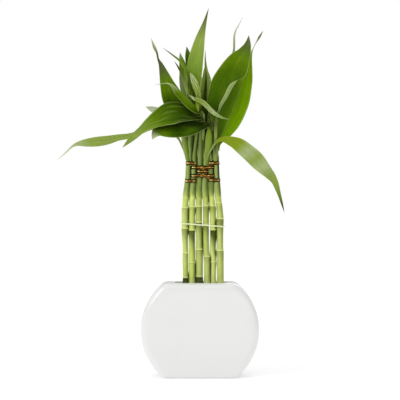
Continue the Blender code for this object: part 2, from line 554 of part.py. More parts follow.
def blade_section(leaf, share, half):
    """One cross-section of a blade, as (across, up, lean) from the left margin to the right one: the halves fold up
    from the midrib, and the outer part of a rolled margin turns over. Lean is the angle of the face there."""
    strips = 2 if max(station[3] for station in leaf["path"]) > WIDE_LEAF else 1
    fold = math.radians(leaf["fold"]) * smooth_step(share / 0.15)
    halves = []
    for side in (-1, 1):
        across, up = 0.0, 0.0
        found = [(0.0, 0.0, 0.0)]
        for k in range(strips):
            roll = 0.0
            if "roll" in leaf and leaf["roll"][0] == side and k == strips - 1:
                _, degrees, start, end = leaf["roll"]
                middle, reach = (start + end) / 2, (end - start) / 2
                roll = math.radians(degrees) * smooth_step((1 - abs(share - middle) / reach) * 1.4)
            angle = fold + roll
            across += half / strips * math.cos(angle)
            up += half / strips * math.sin(angle)
            found.append((side * across, up, side * (fold + roll * 0.8)))
        halves.append(found)
    return halves[0][:0:-1] + halves[1]


def blade(name, leaf):
    """A leaf as a thin closed blade: strips across a curved midrib, split into triangles alike on both faces."""
    route = [to_metres(station[:3]) for station in leaf["path"]]
    length = sum((b - a).length for a, b in zip(route, route[1:]))
    count = max(7, round(length / STATION))
    centres, halves = even_stations(route, [station[3] * MM for station in leaf["path"]], count)
    face_start, face_end = (Vector(f).normalized() for f in leaf["face"])
    upper, lower = [], []
    for k, centre in enumerate(centres):
        share = k / count
        ahead = centres[min(k + 1, count)] - centres[max(k - 1, 0)]
        side = ahead.cross(face_start.lerp(face_end, share)).normalized()
        up = side.cross(ahead).normalized()
        section = blade_section(leaf, share, halves[k])
        for across, rise, lean in section:
            middle = centre + side * across + up * rise
            out = up * math.cos(lean) - side * math.sin(lean)
            upper.append(middle + out * (LEAF_THICK / 2))
            lower.append(middle - out * (LEAF_THICK / 2))
    wide = len(section)
    under = len(upper)
    faces = []
    for k in range(count):
        for i in range(wide - 1):
            a = k * wide + i
            b = a + wide
            faces += [(a, a + 1, b + 1), (a, b + 1, b)]
            faces += [(under + a, under + b + 1, under + a + 1), (under + a, under + b, under + b + 1)]
        left, right = k * wide, k * wide + wide - 1
        faces += [(left, left + wide, under + left + wide), (left, under + left + wide, under + left)]
        faces += [(right, under + right + wide, right + wide), (right, under + right, under + right + wide)]
    for i in range(wide - 1):
        end = count * wide + i
        faces += [(i, under + i, under + i + 1), (i, under + i + 1, i + 1)]
        faces += [(end, under + end + 1, under + end), (end, end + 1, under + end + 1)]
    return add_object(name, upper + lower, faces)


def build_stalks(paint):
    for name, spec in STALKS.items():
        body = cane(name, spec, paint)
        fuse(body, [blade(f"{name}_{leaf['name']}", leaf) for leaf in spec["leaves"]])
        body.data.materials.clear()
        body.data.materials.append(paint)


def sweep_loop(name, loop, centre, section, tilt, paint):
    """A closed strip: a section of (out, up) points swept round a level loop, then tilted about its middle."""
    count = len(loop)
    points = []
    for k, (x, y) in enumerate(loop):
        before, after = loop[k - 1], loop[(k + 1) % count]
        along = Vector((after[0] - before[0], after[1] - before[1], 0)).normalized()
        outward = Vector((along.y, -along.x, 0))
        for out, up in section:
            place = Vector((x, y, up)) + outward * out
            points.append(centre + Vector((place.x, place.y, place.z - place.x * math.tan(tilt))))
    size = len(section)
    faces = []
    for k in range(count):
        for i in range(size):
            j = (i + 1) % size
            a, b = k * size, ((k + 1) % count) * size
            faces.append((a + i, b + i, b + j, a + j))
    return add_object(name, points, faces, paint)


def build_ties(paint):
    """Each twist tie runs round the columns it holds, through the gaps beside them, in front and behind."""
    half = TIE_HEIGHT / 2
    thin = TIE_THICK / 2
    section = ((-thin, half), (-thin, -half), (thin, -half), (thin + TIE_RIDGE, 0), (thin, half))
    for name, first, last, level, knot in TIES:
        height = level * MM
        _, row_pitch, radius = waist_at(height - half)
        left = stalk_place(first, FRONT, height - half).x
        right = stalk_place(last, FRONT, height - half).x
        reach = radius + TIE_CLEAR + thin
        loop = rounded_loop((right - left) / 2 + reach, row_pitch / 2 + reach, reach, 3)
        centre = Vector(((left + right) / 2, 0, height))
        tie = sweep_loop(name, loop, centre, section, 0, paint)
        if knot:
            fuse(tie, [tie_knot(name, Vector((centre.x, -row_pitch / 2 - reach, height + knot * half / 2)))])


def tie_knot(name, centre):
    """The twisted ends of a tie, pressed flat against its front."""
    rings = []
    for share, wide in ((-1, 0.35), (-0.5, 1), (0, 0.75), (0.5, 1), (1, 0.35)):
        ring = []
        for k in range(6):
            angle = math.radians(60 * k + 35 * share)
            ring.append(centre + Vector((share * 3.6 * MM, math.sin(angle) * wide * 0.9 * MM,
                                         math.cos(angle) * wide * 1.1 * MM)))
        rings.append(ring)
    points, faces = skin(rings)
    return add_object(name + "_knot", points, [tuple(reversed(face)) for face in faces])


def build_band(paint):
    pitch, row_pitch, radius = waist_at(BAND_Z)
    reach = radius + NODE_RISE + GAP + BAND_THICK / 2
    loop = rounded_loop(pitch * (COLUMNS - 1) / 2 + reach, row_pitch / 2 + reach, reach, 4)
    thin, half = BAND_THICK / 2, BAND_HEIGHT / 2
    section = ((-thin, half), (-thin, -half), (thin, -half), (thin, half))
    sweep_loop("rubber_band", loop, Vector((BUNDLE_X, 0, BAND_Z)), section, BAND_SLOPE, paint)


def main():
    clear_scene()
    build_vase(material("white_glaze", (0.86, 0.86, 0.85), 0.16))
    build_bed(material("river_pebble", (0.52, 0.48, 0.42), 0.5))
    build_stalks(material("leaf_and_cane", (0.24, 0.42, 0.07), 0.4))
    build_ties(material("gold_foil", (0.62, 0.33, 0.06), 0.28, 0.9))
    build_band(material("pale_rubber", (0.86, 0.9, 0.6), 0.55))


main()
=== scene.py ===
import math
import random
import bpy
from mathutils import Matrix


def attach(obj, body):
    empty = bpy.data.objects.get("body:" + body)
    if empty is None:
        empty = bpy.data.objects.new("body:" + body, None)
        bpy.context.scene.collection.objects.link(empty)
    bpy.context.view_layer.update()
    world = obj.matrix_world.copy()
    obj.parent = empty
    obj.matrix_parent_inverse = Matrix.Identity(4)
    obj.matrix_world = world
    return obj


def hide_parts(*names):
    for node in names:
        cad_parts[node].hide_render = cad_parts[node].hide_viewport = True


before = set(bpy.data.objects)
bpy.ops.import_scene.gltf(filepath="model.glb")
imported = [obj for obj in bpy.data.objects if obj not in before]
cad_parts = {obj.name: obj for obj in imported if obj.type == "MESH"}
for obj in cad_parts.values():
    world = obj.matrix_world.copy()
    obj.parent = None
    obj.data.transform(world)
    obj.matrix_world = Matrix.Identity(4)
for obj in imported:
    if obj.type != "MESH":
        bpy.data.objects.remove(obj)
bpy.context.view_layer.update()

# Potted dracaena: twelve lucky bamboo stalks tied in a flat bundle, in pebbles in a white moon vase. World
# units are metres and +Z is up; tables of places are in millimetres, as in the part's source.
from types import SimpleNamespace

import bpy
import numpy as np
from mathutils import Vector
from mathutils.bvhtree import BVHTree

MM = 0.001
scene = bpy.context.scene
scene.view_settings.view_transform = "Standard"


# The studio: a wide white table under soft lamps, in front of a white ground. The camera stands level with
# the middle of the plant, as in the photograph.
CAMERA_BACK = 1.4
CAMERA_HEIGHT = 0.2089
CAMERA_LENS = 105.525
CAMERA_SENSOR = 36
TABLE_REACH = 9.0
TABLE_TOP = -0.2 * MM
GROUND_SEEN = 1.0
GROUND_LIGHT = 0.58
GLOW_NEAR = (0.2, 0.2, 0.2, 1)
GLOW_FAR = (0.6, 0.6, 0.6, 1)
PLANT_MIDDLE = (0, 0, 0.24)
# Each lamp: its name, place, width and power.
LAMPS = (("key_lamp", (-1.6, -1.05, 1.3), 1.0, 14.5), ("fill_lamp", (1.5, -1.3, 0.7), 1.2, 4),
         ("back_lamp", (0.6, 1.5, 1.3), 1.2, 8), ("top_lamp", (-0.1, -0.1, 1.7), 1.3, 6))


class Field:
    """A value, colour or place inside a finish. Sums, differences and products of values add Math nodes."""

    def __init__(self, finish, socket):
        self.finish = finish
        self.socket = socket

    def maths(self, operation, first, second):
        return self.finish.node("ShaderNodeMath", {"operation": operation}, {0: first, 1: second})

    def __add__(self, other):
        return self.maths("ADD", self, other)

    def __sub__(self, other):
        return self.maths("SUBTRACT", self, other)

    def __rsub__(self, other):
        return self.maths("SUBTRACT", other, self)

    def __mul__(self, other):
        return self.maths("MULTIPLY", self, other)

    __radd__ = __add__
    __rmul__ = __mul__


class Finish:
    """A material round one Principled shader, whose constant sockets are given by name."""

    def __init__(self, name, constants):
        self.material = bpy.data.materials.new(name)
        self.material.use_nodes = True
        self.nodes = self.material.node_tree.nodes
        self.links = self.material.node_tree.links
        self.shader = self.nodes["Principled BSDF"]
        self.feed(self.shader, constants)

    def feed(self, node, inputs):
        """Sets the sockets of a node, to a number or colour, or to a link from a Field."""
        for key, value in inputs.items():
            if isinstance(value, Field):
                self.links.new(value.socket, node.inputs[key])
            else:
                node.inputs[key].default_value = value

    def node(self, kind, settings, inputs, output=0):
        """Adds a node: its settings first, then its sockets."""
        made = self.nodes.new(kind)
        for key, value in settings.items():
            setattr(made, key, value)
        self.feed(made, inputs)
        return Field(self, made.outputs[output])

    def painted(self, name, output):
        """What the mesh carries at each point under this name."""
        return self.node("ShaderNodeAttribute", {"attribute_name": name}, {}, output)

    def place(self):
        """Where a point is on the object, in metres."""
        return self.node("ShaderNodeTexCoord", {}, {}, "Object")

    def axes(self, place):
        split = self.node("ShaderNodeSeparateXYZ", {}, {0: place}).socket.node
        return [Field(self, split.outputs[k]) for k in range(3)]

    def stretched(self, x, y, z):
        return self.node("ShaderNodeCombineXYZ", {}, {0: x, 1: y, 2: z})

    def noise(self, place, scale, detail=2.0, roughness=0.5):
        return self.node("ShaderNodeTexNoise", {},
                         {"Vector": place, "Scale": scale, "Detail": detail, "Roughness": roughness})

    def between(self, value, low, high, start=0.0, end=1.0):
        """The value's run from low to high, eased and spread over start to end."""
        return self.node("ShaderNodeMapRange", {"interpolation_type": "SMOOTHSTEP"},
                         {0: value, 1: low, 2: high, 3: start, 4: end})

    def blend(self, share, first, second):
        """A mix of two colours."""
        return self.node("ShaderNodeMix", {"data_type": "RGBA"}, {"Factor": share, 6: first, 7: second}, 2)

    def scaled(self, colour, by):
        """A colour made lighter or darker."""
        return self.node("ShaderNodeVectorMath", {"operation": "SCALE"}, {0: colour, "Scale": by})

    def relief(self, height, distance, strength):
        """Feeds the shader's normal from a height."""
        sizes = {"Height": height, "Distance": distance, "Strength": strength}
        bump = self.node("ShaderNodeBump", {}, sizes)
        self.feed(self.shader, {"Normal": bump})
        return bump


def linear(*shade):
    """A colour in linear light from its 0 to 255 display values."""
    value = np.array(shade) / 255
    return np.where(value <= 0.04045, value / 12.92, ((value + 0.055) / 1.055) ** 2.4)


def opaque(*shade):
    return (*linear(*shade), 1.0)


def linked(name, data):
    """A new object of the scene that shows a mesh, a lamp or a camera."""
    made = bpy.data.objects.new(name, data)
    scene.collection.objects.link(made)
    return made


def add_object(name, points, faces, finish, sharp=180):
    """A smooth mesh object, with an edge kept sharp only where its faces turn more than sharp degrees."""
    mesh = bpy.data.meshes.new(name)
    mesh.from_pydata(np.asarray(points, float).tolist(), [], faces)
    mesh.shade_smooth()
    if sharp < 180:
        mesh.set_sharp_from_angle(angle=math.radians(sharp))
    mesh.materials.append(finish.material)
    return linked(name, mesh)


camera = linked("camera", bpy.data.cameras.new("camera"))
camera.location = (0, -CAMERA_BACK, CAMERA_HEIGHT)
camera.rotation_euler = (math.radians(90), 0, 0)
camera.data.sensor_width = CAMERA_SENSOR
camera.data.lens = CAMERA_LENS
scene.camera = camera

white_paper = Finish("white_paper", {"Roughness": 0.7, "Specular IOR Level": 0.1, "Emission Strength": 1.0})
paper_place = white_paper.place()
paper_reach = white_paper.node("ShaderNodeVectorMath", {"operation": "LENGTH"}, {0: paper_place}, "Value")
white_paper.feed(white_paper.shader, {
    "Base Color": white_paper.blend(white_paper.noise(paper_place, 3.0), opaque(243, 243, 243),
                                    opaque(247, 247, 247)),
    "Emission Color": white_paper.blend(white_paper.between(paper_reach, 0.5, 3.0), GLOW_NEAR, GLOW_FAR),
})
table_corners = [(TABLE_REACH * x, TABLE_REACH * y, TABLE_TOP)
                 for x, y in ((-1, -1), (1, -1), (1, 1), (-1, 1))]
add_object("table_top", table_corners, [(0, 1, 2, 3)], white_paper)

scene.world = bpy.data.worlds.new("white_ground")
scene.world.use_nodes = True
ground_nodes, ground_links = scene.world.node_tree.nodes, scene.world.node_tree.links
ground_seen = ground_nodes.new("ShaderNodeLightPath")
ground_level = ground_nodes.new("ShaderNodeMapRange")
ground_level.inputs["To Min"].default_value = GROUND_LIGHT
ground_level.inputs["To Max"].default_value = GROUND_SEEN
ground_links.new(ground_seen.outputs["Is Camera Ray"], ground_level.inputs["Value"])
ground_nodes["Background"].inputs["Color"].default_value = (1, 1, 1, 1)
ground_links.new(ground_level.outputs["Result"], ground_nodes["Background"].inputs["Strength"])

for name, place, width, power in LAMPS:
    lamp = linked(name, bpy.data.lights.new(name, "AREA"))
    lamp.data.size = width
    lamp.data.energy = power
    lamp.location = place
    lamp.rotation_euler = (Vector(place) - Vector(PLANT_MIDDLE)).to_track_quat("Z", "Y").to_euler()


# The vase: an upright disc of slip-cast stoneware, cut flat at the foot and the top, with one white glaze
# all over but its foot. Its mouth is a slot with round ends and a softly rounded lip.
VASE_RADIUS = 70 * MM
VASE_HEIGHT = 111 * MM
VASE_DEPTH = 54 * MM
VASE_WALL = 4.5 * MM
VASE_EDGE = 9 * MM
VASE_FOOT_EDGE = 2.5 * MM
VASE_CORNER = 14 * MM
# Steps along each arc of the outline, round each of its corners, and round its edge.
VASE_STEPS = (54, 14, 14)
HOLLOW_STEPS = (30, 8, 8)
FOOT_BLEND = 16 * MM
MOUTH_LENGTH = 64 * MM
MOUTH_WIDTH = 31 * MM
MOUTH_CORNER = 13 * MM
LIP_ROUND = 1.5 * MM
LIP_STEPS = 5
LIP_ANGLE = math.radians(50)
FLAT_MARGIN = 0.9 * MM
GLAZE_WHITE = opaque(231, 232, 231)
GLAZE_THIN = opaque(227, 228, 226)
BARE_FOOT = opaque(220, 217, 210)


def eased(share):
    """0 to 1 with soft ends."""
    share = np.clip(share, 0.0, 1.0)
    return share * share * (3 - 2 * share)


def disc_outline(radius, low, high, corner, arc_steps, corner_steps):
    """Points and outward normals, in XZ, of an upright disc cut flat at low and high with round corners."""
    middle = VASE_HEIGHT / 2
    corners = []
    for side, level in ((1, low - middle), (1, high - middle), (-1, high - middle), (-1, low - middle)):
        turn = 1 if level > 0 else -1
        centre_z = level - turn * corner
        centre_x = side * math.sqrt((radius - corner) ** 2 - centre_z ** 2)
        touch = math.atan2(centre_z, abs(centre_x))
        upright = math.radians(90) * turn
        first, last = (touch, upright) if side == turn else (upright, touch)
        corners.append((side, centre_x, centre_z, first, last))
    points, normals = [], []

    def add(x, z, reach, side, angle):
        normals.append((side * math.cos(angle), 0, math.sin(angle)))
        points.append((x + normals[-1][0] * reach, 0, middle + z + normals[-1][2] * reach))

    for index, (side, x, z, first, last) in enumerate(corners):
        for angle in np.linspace(first, last, corner_steps + 1):
            add(x, z, corner, side, angle)
        if index in (0, 2):
            for angle in np.linspace(last, corners[index + 1][3], arc_steps + 1)[1:-1]:
                add(0, 0, radius, side, angle)
    return np.array(points), np.array(normals)


def with_ends(rings):
    """What belongs to each point of the rings, and then to the middles of both ends."""
    return np.vstack([rings.reshape(-1, rings.shape[-1]), rings[0].mean(axis=0), rings[-1].mean(axis=0)])


def loft(rings):
    """Points and faces of a closed skin over rings of points, with both ends closed on their middles."""
    levels, around = rings.shape[:2]
    index = np.arange(levels * around).reshape(levels, around)
    turned = np.roll(index, -1, axis=1)
    sides = np.stack([index[:-1], turned[:-1], turned[1:], index[1:]], axis=-1).reshape(-1, 4)
    start, end = (np.full(around, levels * around + k) for k in (0, 1))
    caps = np.vstack([np.column_stack([turned[0], index[0], start]),
                      np.column_stack([index[-1], turned[-1], end])])
    return with_ends(rings), sides.tolist() + caps.tolist()


def disc_skin(radius, low, high, depth, edge, foot_edge, corner, steps):
    """A closed upright disc: its outline drawn in at front and back by a round edge, tighter at the foot."""
    arc_steps, corner_steps, edge_steps = steps
    points, normals = disc_outline(radius, low, high, corner, arc_steps, corner_steps)
    round_edge = (foot_edge + (edge - foot_edge) * eased((points[:, 2] - low) / FOOT_BLEND))[:, None]
    turns = np.radians(np.linspace(0, 90, edge_steps + 1))
    rings = []
    for side, angles in ((-1, turns[::-1]), (1, turns)):
        for angle in angles:
            out = np.zeros_like(points)
            out[:, 1:2] = side * (depth / 2 - round_edge * (1 - math.sin(angle)))
            rings.append(points - normals * round_edge * (1 - math.cos(angle)) + out)
    flat_front = rings[0] - normals * FLAT_MARGIN
    flat_back = rings[-1] - normals * FLAT_MARGIN
    skin_points, faces = loft(np.array([flat_front, *rings, flat_back]))
    return skin_points, [face[::-1] for face in faces]


def rounded_loop(half_x, half_y, corner, corner_steps):
    """Points of a rectangle with round corners, counter-clockwise from above, as (x, y)."""
    found = []
    for quarter, (sx, sy) in enumerate(((1, 1), (-1, 1), (-1, -1), (1, -1))):
        for angle in np.radians(90) * (quarter + np.linspace(0, 1, corner_steps + 1)):
            found.append((sx * (half_x - corner) + corner * math.cos(angle),
                          sy * (half_y - corner) + corner * math.sin(angle)))
    return np.array(found)


def applied(thing):
    """Puts an object's evaluated mesh in place of its modifiers."""
    graph = bpy.context.evaluated_depsgraph_get()
    shaped = bpy.data.meshes.new_from_object(thing.evaluated_get(graph))
    thing.modifiers.clear()
    thing.data = shaped


def dress(piece, slot, *nodes):
    """Joins a piece to the part, riding on the root, and hides the solids that it stands for. The slot is
    not used.
    """
    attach(piece, "root")
    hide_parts(*nodes)


white_glaze = Finish("white_glaze", {"IOR": 1.5, "Coat Roughness": 0.08})
vase_place = white_glaze.place()
vase_level = white_glaze.axes(vase_place)[2]
bare = white_glaze.between(vase_level, 0.2 * MM, 0.6 * MM, 1.0, 0.0)
cloudy = white_glaze.noise(vase_place, 28.0, 3.0)
pinholes = white_glaze.noise(vase_place, 900.0, 1.0)
white_glaze.feed(white_glaze.shader, {
    "Base Color": white_glaze.blend(bare, white_glaze.blend(cloudy, GLAZE_WHITE, GLAZE_THIN), BARE_FOOT),
    "Roughness": 0.22 + cloudy * 0.06 + bare * 0.5,
    "Coat Weight": 0.35 - bare * 0.35,
})
dimples = white_glaze.between(pinholes, 0.7, 0.8) * -0.25
white_glaze.relief(white_glaze.noise(vase_place, 90.0, 1.0) * 0.5 + dimples, 0.05 * MM, 0.1)

moon_vase_glazed = add_object("moon_vase_glazed", *disc_skin(
    VASE_RADIUS, 0, VASE_HEIGHT, VASE_DEPTH, VASE_EDGE, VASE_FOOT_EDGE, VASE_CORNER, VASE_STEPS),
    white_glaze)
hollow_edge = VASE_EDGE - VASE_WALL
vase_hollow = add_object("vase_hollow", *disc_skin(
    VASE_RADIUS - VASE_WALL, VASE_WALL, VASE_HEIGHT - VASE_WALL, VASE_DEPTH - 2 * VASE_WALL,
    hollow_edge, hollow_edge, VASE_CORNER - VASE_WALL, HOLLOW_STEPS), white_glaze)
mouth_loop = rounded_loop(MOUTH_LENGTH / 2, MOUTH_WIDTH / 2, MOUTH_CORNER, 16)
mouth_rings = [np.column_stack([mouth_loop, np.full(len(mouth_loop), level)])
               for level in (VASE_HEIGHT - 2 * VASE_WALL, VASE_HEIGHT + VASE_WALL)]
vase_mouth = add_object("vase_mouth", *loft(np.array(mouth_rings)), white_glaze)
for cutter in (vase_hollow, vase_mouth):
    cut = moon_vase_glazed.modifiers.new(cutter.name, "BOOLEAN")
    cut.operation = "DIFFERENCE"
    cut.solver = "EXACT"
    cut.object = cutter
applied(moon_vase_glazed)
for cutter in (vase_hollow, vase_mouth):
    bpy.data.objects.remove(cutter, do_unlink=True)
lip = moon_vase_glazed.modifiers.new("lip", "BEVEL")
lip.width = LIP_ROUND
lip.segments = LIP_STEPS
lip.limit_method = "ANGLE"
lip.angle_limit = LIP_ANGLE
flat = moon_vase_glazed.modifiers.new("flat", "WEIGHTED_NORMAL")
flat.keep_sharp = True
applied(moon_vase_glazed)
dress(moon_vase_glazed, "white_glaze", "moon_vase")


# The pebble bed: rounded river stones in water up to a little under the mouth, round the feet of the canes.
# Each stone is its own skin, and a bed of grit lies under them.
BED_TOP = 98.5 * MM
BED_MARGIN = 0.3 * MM
PEBBLE_PITCH = 6.2 * MM
PEBBLE_SEED = 11
PEBBLE_SHIFT = 0.9 * MM
LOWER_STONE = -1.2 * MM
UPPER_STONE = 0.35 * MM
UPPER_TRIES = 1500
GRIT_LEVEL = -2.0 * MM
GRIT_WAVE = 0.5 * MM
GRIT_SHADE = linear(112, 106, 94)
CANE_RADIUS = 3.65 * MM
COLUMNS = 6
FRONT, BACK = -0.5, 0.5
BUNDLE_X = 3.1 * MM
FOOT_PITCH = 8.26 * MM
FOOT_ROWS = 8.6 * MM
STONE_SHADES = ((150, 142, 128), (178, 168, 150), (118, 112, 104), (204, 198, 184), (142, 122, 102),
                (96, 94, 92), (188, 176, 148), (166, 160, 152))


class Skin:
    """The meshes that make up one piece, with the tint and grain of each of their points."""

    def __init__(self):
        self.points, self.faces, self.tint, self.grain = [], [], [], []
        self.count = 0

    def add(self, points, faces, tint, grain):
        self.faces += [tuple(k + self.count for k in face) for face in faces]
        self.points.append(points)
        self.tint.append(np.broadcast_to(tint, (len(points), 3)))
        self.grain.append(np.broadcast_to(grain, (len(points), 3)))
        self.count += len(points)

    def add_loft(self, rings, tint, grain):
        self.add(*loft(rings), with_ends(tint), with_ends(grain))

    def make(self, name, finish, sharp=180):
        made = add_object(name, np.vstack(self.points), self.faces, finish, sharp)
        tint = made.data.attributes.new("tint", "FLOAT_COLOR", "POINT")
        tint.data.foreach_set("color", np.column_stack([np.vstack(self.tint), np.ones(self.count)]).ravel())
        grain = made.data.attributes.new("grain", "FLOAT_VECTOR", "POINT")
        grain.data.foreach_set("vector", np.vstack(self.grain).ravel())
        return made


def ball(rings, around):
    """A round skin of radius 1: its points, closed at the poles, and its faces."""
    turns = np.linspace(0, 2 * math.pi, around, endpoint=False)
    levels = np.linspace(-math.pi / 2, math.pi / 2, rings + 2)[1:-1]
    points, faces = loft(np.array([[(math.cos(v) * math.cos(u), math.cos(v) * math.sin(u), math.sin(v))
                                    for u in turns] for v in levels]))
    points[-2:] = ((0, 0, -1), (0, 0, 1))
    return points, faces


def bundle_place(column, row, pitch, row_pitch):
    """Where a stalk stands in the bundle, as x and y."""
    return BUNDLE_X + (column - (COLUMNS - 1) / 2) * pitch, row * row_pitch


CANE_FEET = [bundle_place(column, row, FOOT_PITCH, FOOT_ROWS)
             for column in range(COLUMNS) for row in (FRONT, BACK)]


def clear_of_canes(x, y, size):
    """Whether a stone of this size doesn't cut into a cane."""
    return all(math.hypot(x - cane_x, y - cane_y) >= CANE_RADIUS + size for cane_x, cane_y in CANE_FEET)


river_pebble = Finish("river_pebble", {"IOR": 1.5, "Coat Roughness": 0.06})
stone_tint = river_pebble.painted("tint", "Color")
stone_place = river_pebble.place()
mottle = river_pebble.noise(stone_place, 420.0, 4.0, 0.6)
speckle = river_pebble.between(river_pebble.noise(stone_place, 2600.0, 2.0), 0.56, 0.7)
stone_colour = river_pebble.scaled(stone_tint, 0.72 + mottle * 0.56)
river_pebble.feed(river_pebble.shader, {
    "Base Color": river_pebble.blend(speckle * 0.35, stone_colour, opaque(70, 66, 60)),
    "Roughness": 0.3 + mottle * 0.3,
    "Coat Weight": 0.75 - mottle * 0.3,
})
river_pebble.relief(mottle + speckle * 0.2, 0.15 * MM, 0.4)

draw = random.Random(PEBBLE_SEED)
pebble_skin = Skin()
ball_points, ball_faces = ball(9, 16)


def add_stone(x, y, z, size, flatness):
    """One stone: a ball flattened, lengthened one way and dented by slow waves."""
    turn = draw.uniform(0, math.pi)
    long_way = draw.uniform(1.0, 1.2)
    phase = [draw.uniform(0, 2 * math.pi) for _ in range(3)]
    dent = 1 + 0.05 * (np.sin(2.3 * ball_points[:, 0] + phase[0])
                       + np.sin(2.9 * ball_points[:, 1] + phase[1])
                       + np.sin(3.4 * ball_points[:, 2] + phase[2]))[:, None]
    shaped = ball_points * dent * (size * long_way, size / long_way, size * flatness)
    across, along = math.cos(turn), math.sin(turn)
    turned = np.column_stack([shaped[:, 0] * across - shaped[:, 1] * along,
                              shaped[:, 0] * along + shaped[:, 1] * across, shaped[:, 2]])
    shade = linear(*draw.choice(STONE_SHADES)) * draw.uniform(1.0, 1.35)
    pebble_skin.add(turned + (x, y, z), ball_faces, shade, (x, y, draw.random()))


half_x, half_y = MOUTH_LENGTH / 2 + BED_MARGIN, MOUTH_WIDTH / 2 + BED_MARGIN
for row in range(-3, 4):
    for column in range(-6, 7):
        x = (column + 0.5 * (row % 2)) * PEBBLE_PITCH + draw.uniform(-PEBBLE_SHIFT, PEBBLE_SHIFT)
        y = row * PEBBLE_PITCH * 0.87 + draw.uniform(-PEBBLE_SHIFT, PEBBLE_SHIFT)
        size = PEBBLE_PITCH * draw.uniform(0.46, 0.58)
        if clear_of_canes(x, y, size * 0.3):
            add_stone(x, y, BED_TOP + LOWER_STONE, size, 0.7)
resting = []
for _ in range(UPPER_TRIES):
    size = draw.uniform(1.9, 3.3) * MM
    x = draw.uniform(-half_x, half_x)
    y = draw.uniform(-half_y, half_y)
    crowded = any(math.hypot(x - px, y - py) < (size + other) * 0.94 for px, py, other in resting)
    if crowded or not clear_of_canes(x, y, size * 0.96):
        continue
    resting.append((x, y, size))
    add_stone(x, y, BED_TOP + UPPER_STONE, size, draw.uniform(0.6, 0.75))
grit_x, grit_y = np.meshgrid(np.linspace(-half_x, half_x, 90), np.linspace(-half_y, half_y, 46))
grit_z = BED_TOP + GRIT_LEVEL + GRIT_WAVE * np.sin(grit_x * 1900) * np.sin(
    grit_y * 2300 + 3 * np.sin(grit_x * 700))
grit_top = np.stack([grit_x, grit_y, grit_z], axis=-1)
index = np.arange(grit_x.size).reshape(grit_x.shape)
grit_faces = np.stack([index[:-1, :-1], index[:-1, 1:], index[1:, 1:], index[1:, :-1]], axis=-1)
pebble_skin.add(grit_top.reshape(-1, 3), grit_faces.reshape(-1, 4).tolist(), GRIT_SHADE, (0, 0, 0))
dress(pebble_skin.make("river_pebbles", river_pebble), "river_pebble", "pebble_bed")


# The canes: green ringed stems that stand in the stones, in two rows of six. Above the ties each goes on as
# a soft shoot wrapped in sheaths. Cane, shoot and leaves are one plant, drawn as a cane and its leaves.
STALK_FOOT = 9.3 * MM
NODE_RISE = 0.28 * MM
SHOOT_START = 211.0 * MM
# Heights in millimetres where the bundle is tied tightest: below the ties, and on top of them.
TIES_BELOW, TIES_TOP = 243, 256
# How the bundle is drawn in: at each height, the pitch of its columns and its rows, and the canes' radius.
WAIST = ((9.3, 8.26, 8.6, 3.6), (110, 8.26, 8.6, 3.65), (188, 8.26, 8.6, 3.65), (205, 7.8, 8.0, 3.4),
         (222, 7.2, 7.3, 3.1), (232, 6.95, 7.0, 2.95), (243, 6.75, 6.8, 2.85), (256, 6.6, 6.8, 2.75))
# The radius of a shoot by the share of its length.
SHOOT_FORM = ((0.25, 2.85), (0.34, 3.1), (0.5, 3.1), (0.66, 2.95), (0.83, 2.5), (0.93, 1.75), (1, 0.35))
SHOOT_RINGS = 46
CANE_AROUND = 28
CANE_STEP = 3.0
NODE_CLEAR = 4.2
# Heights in millimetres where the shape changes: between which the canes wander aside, up to which their
# sides follow the columns, from which the stalks lie broad and flat and up to which, and from which the laps
# of the sheaths show.
WANDER_FROM, WANDER_TO = 104, 232
COLUMNS_TO = 234
BROAD_FROM, FLAT_FROM, BROAD_TO = 226, 203, 300
LAPS_FROM = 250
# Heights where the colour changes: up to which a painted glow lights the canes over the mouth, round the
# pale top, at the hem of the lowest sheath and under it, where the sheaths turn from pale, from which
# painted shade deepens the gaps between the shoots, and from which they turn to the green of the spear.
FOOT_GLOW_TO = 116
PALE_TOP_FROM, PALE_TOP_TO = 200, 214
HEM_LOW, HEM_HIGH = 209.6, 212.4
UNDER_HEM_TO = 216
PALE_SHEATH_TO, GAP_SHADE_FROM, SPEAR_FROM = 224, 226, 262
NODE_STEPS = np.array((-4.0, -2.4, -1.4, -0.8, -0.45, -0.2, -0.05, 0.1, 0.3, 0.6, 1.0, 1.6, 2.4, 3.6))
NODE_SWELL = np.array((0, 0.0, 0.06, 0.2, 0.3, 0.28, 0.1, 0.05, 0.2, 0.26, 0.2, 0.1, 0.02, 0))
HEM_STEPS = np.array((-2.4, -1.6, -0.8, -0.1, 0.15, 0.8, 1.6, 2.4))
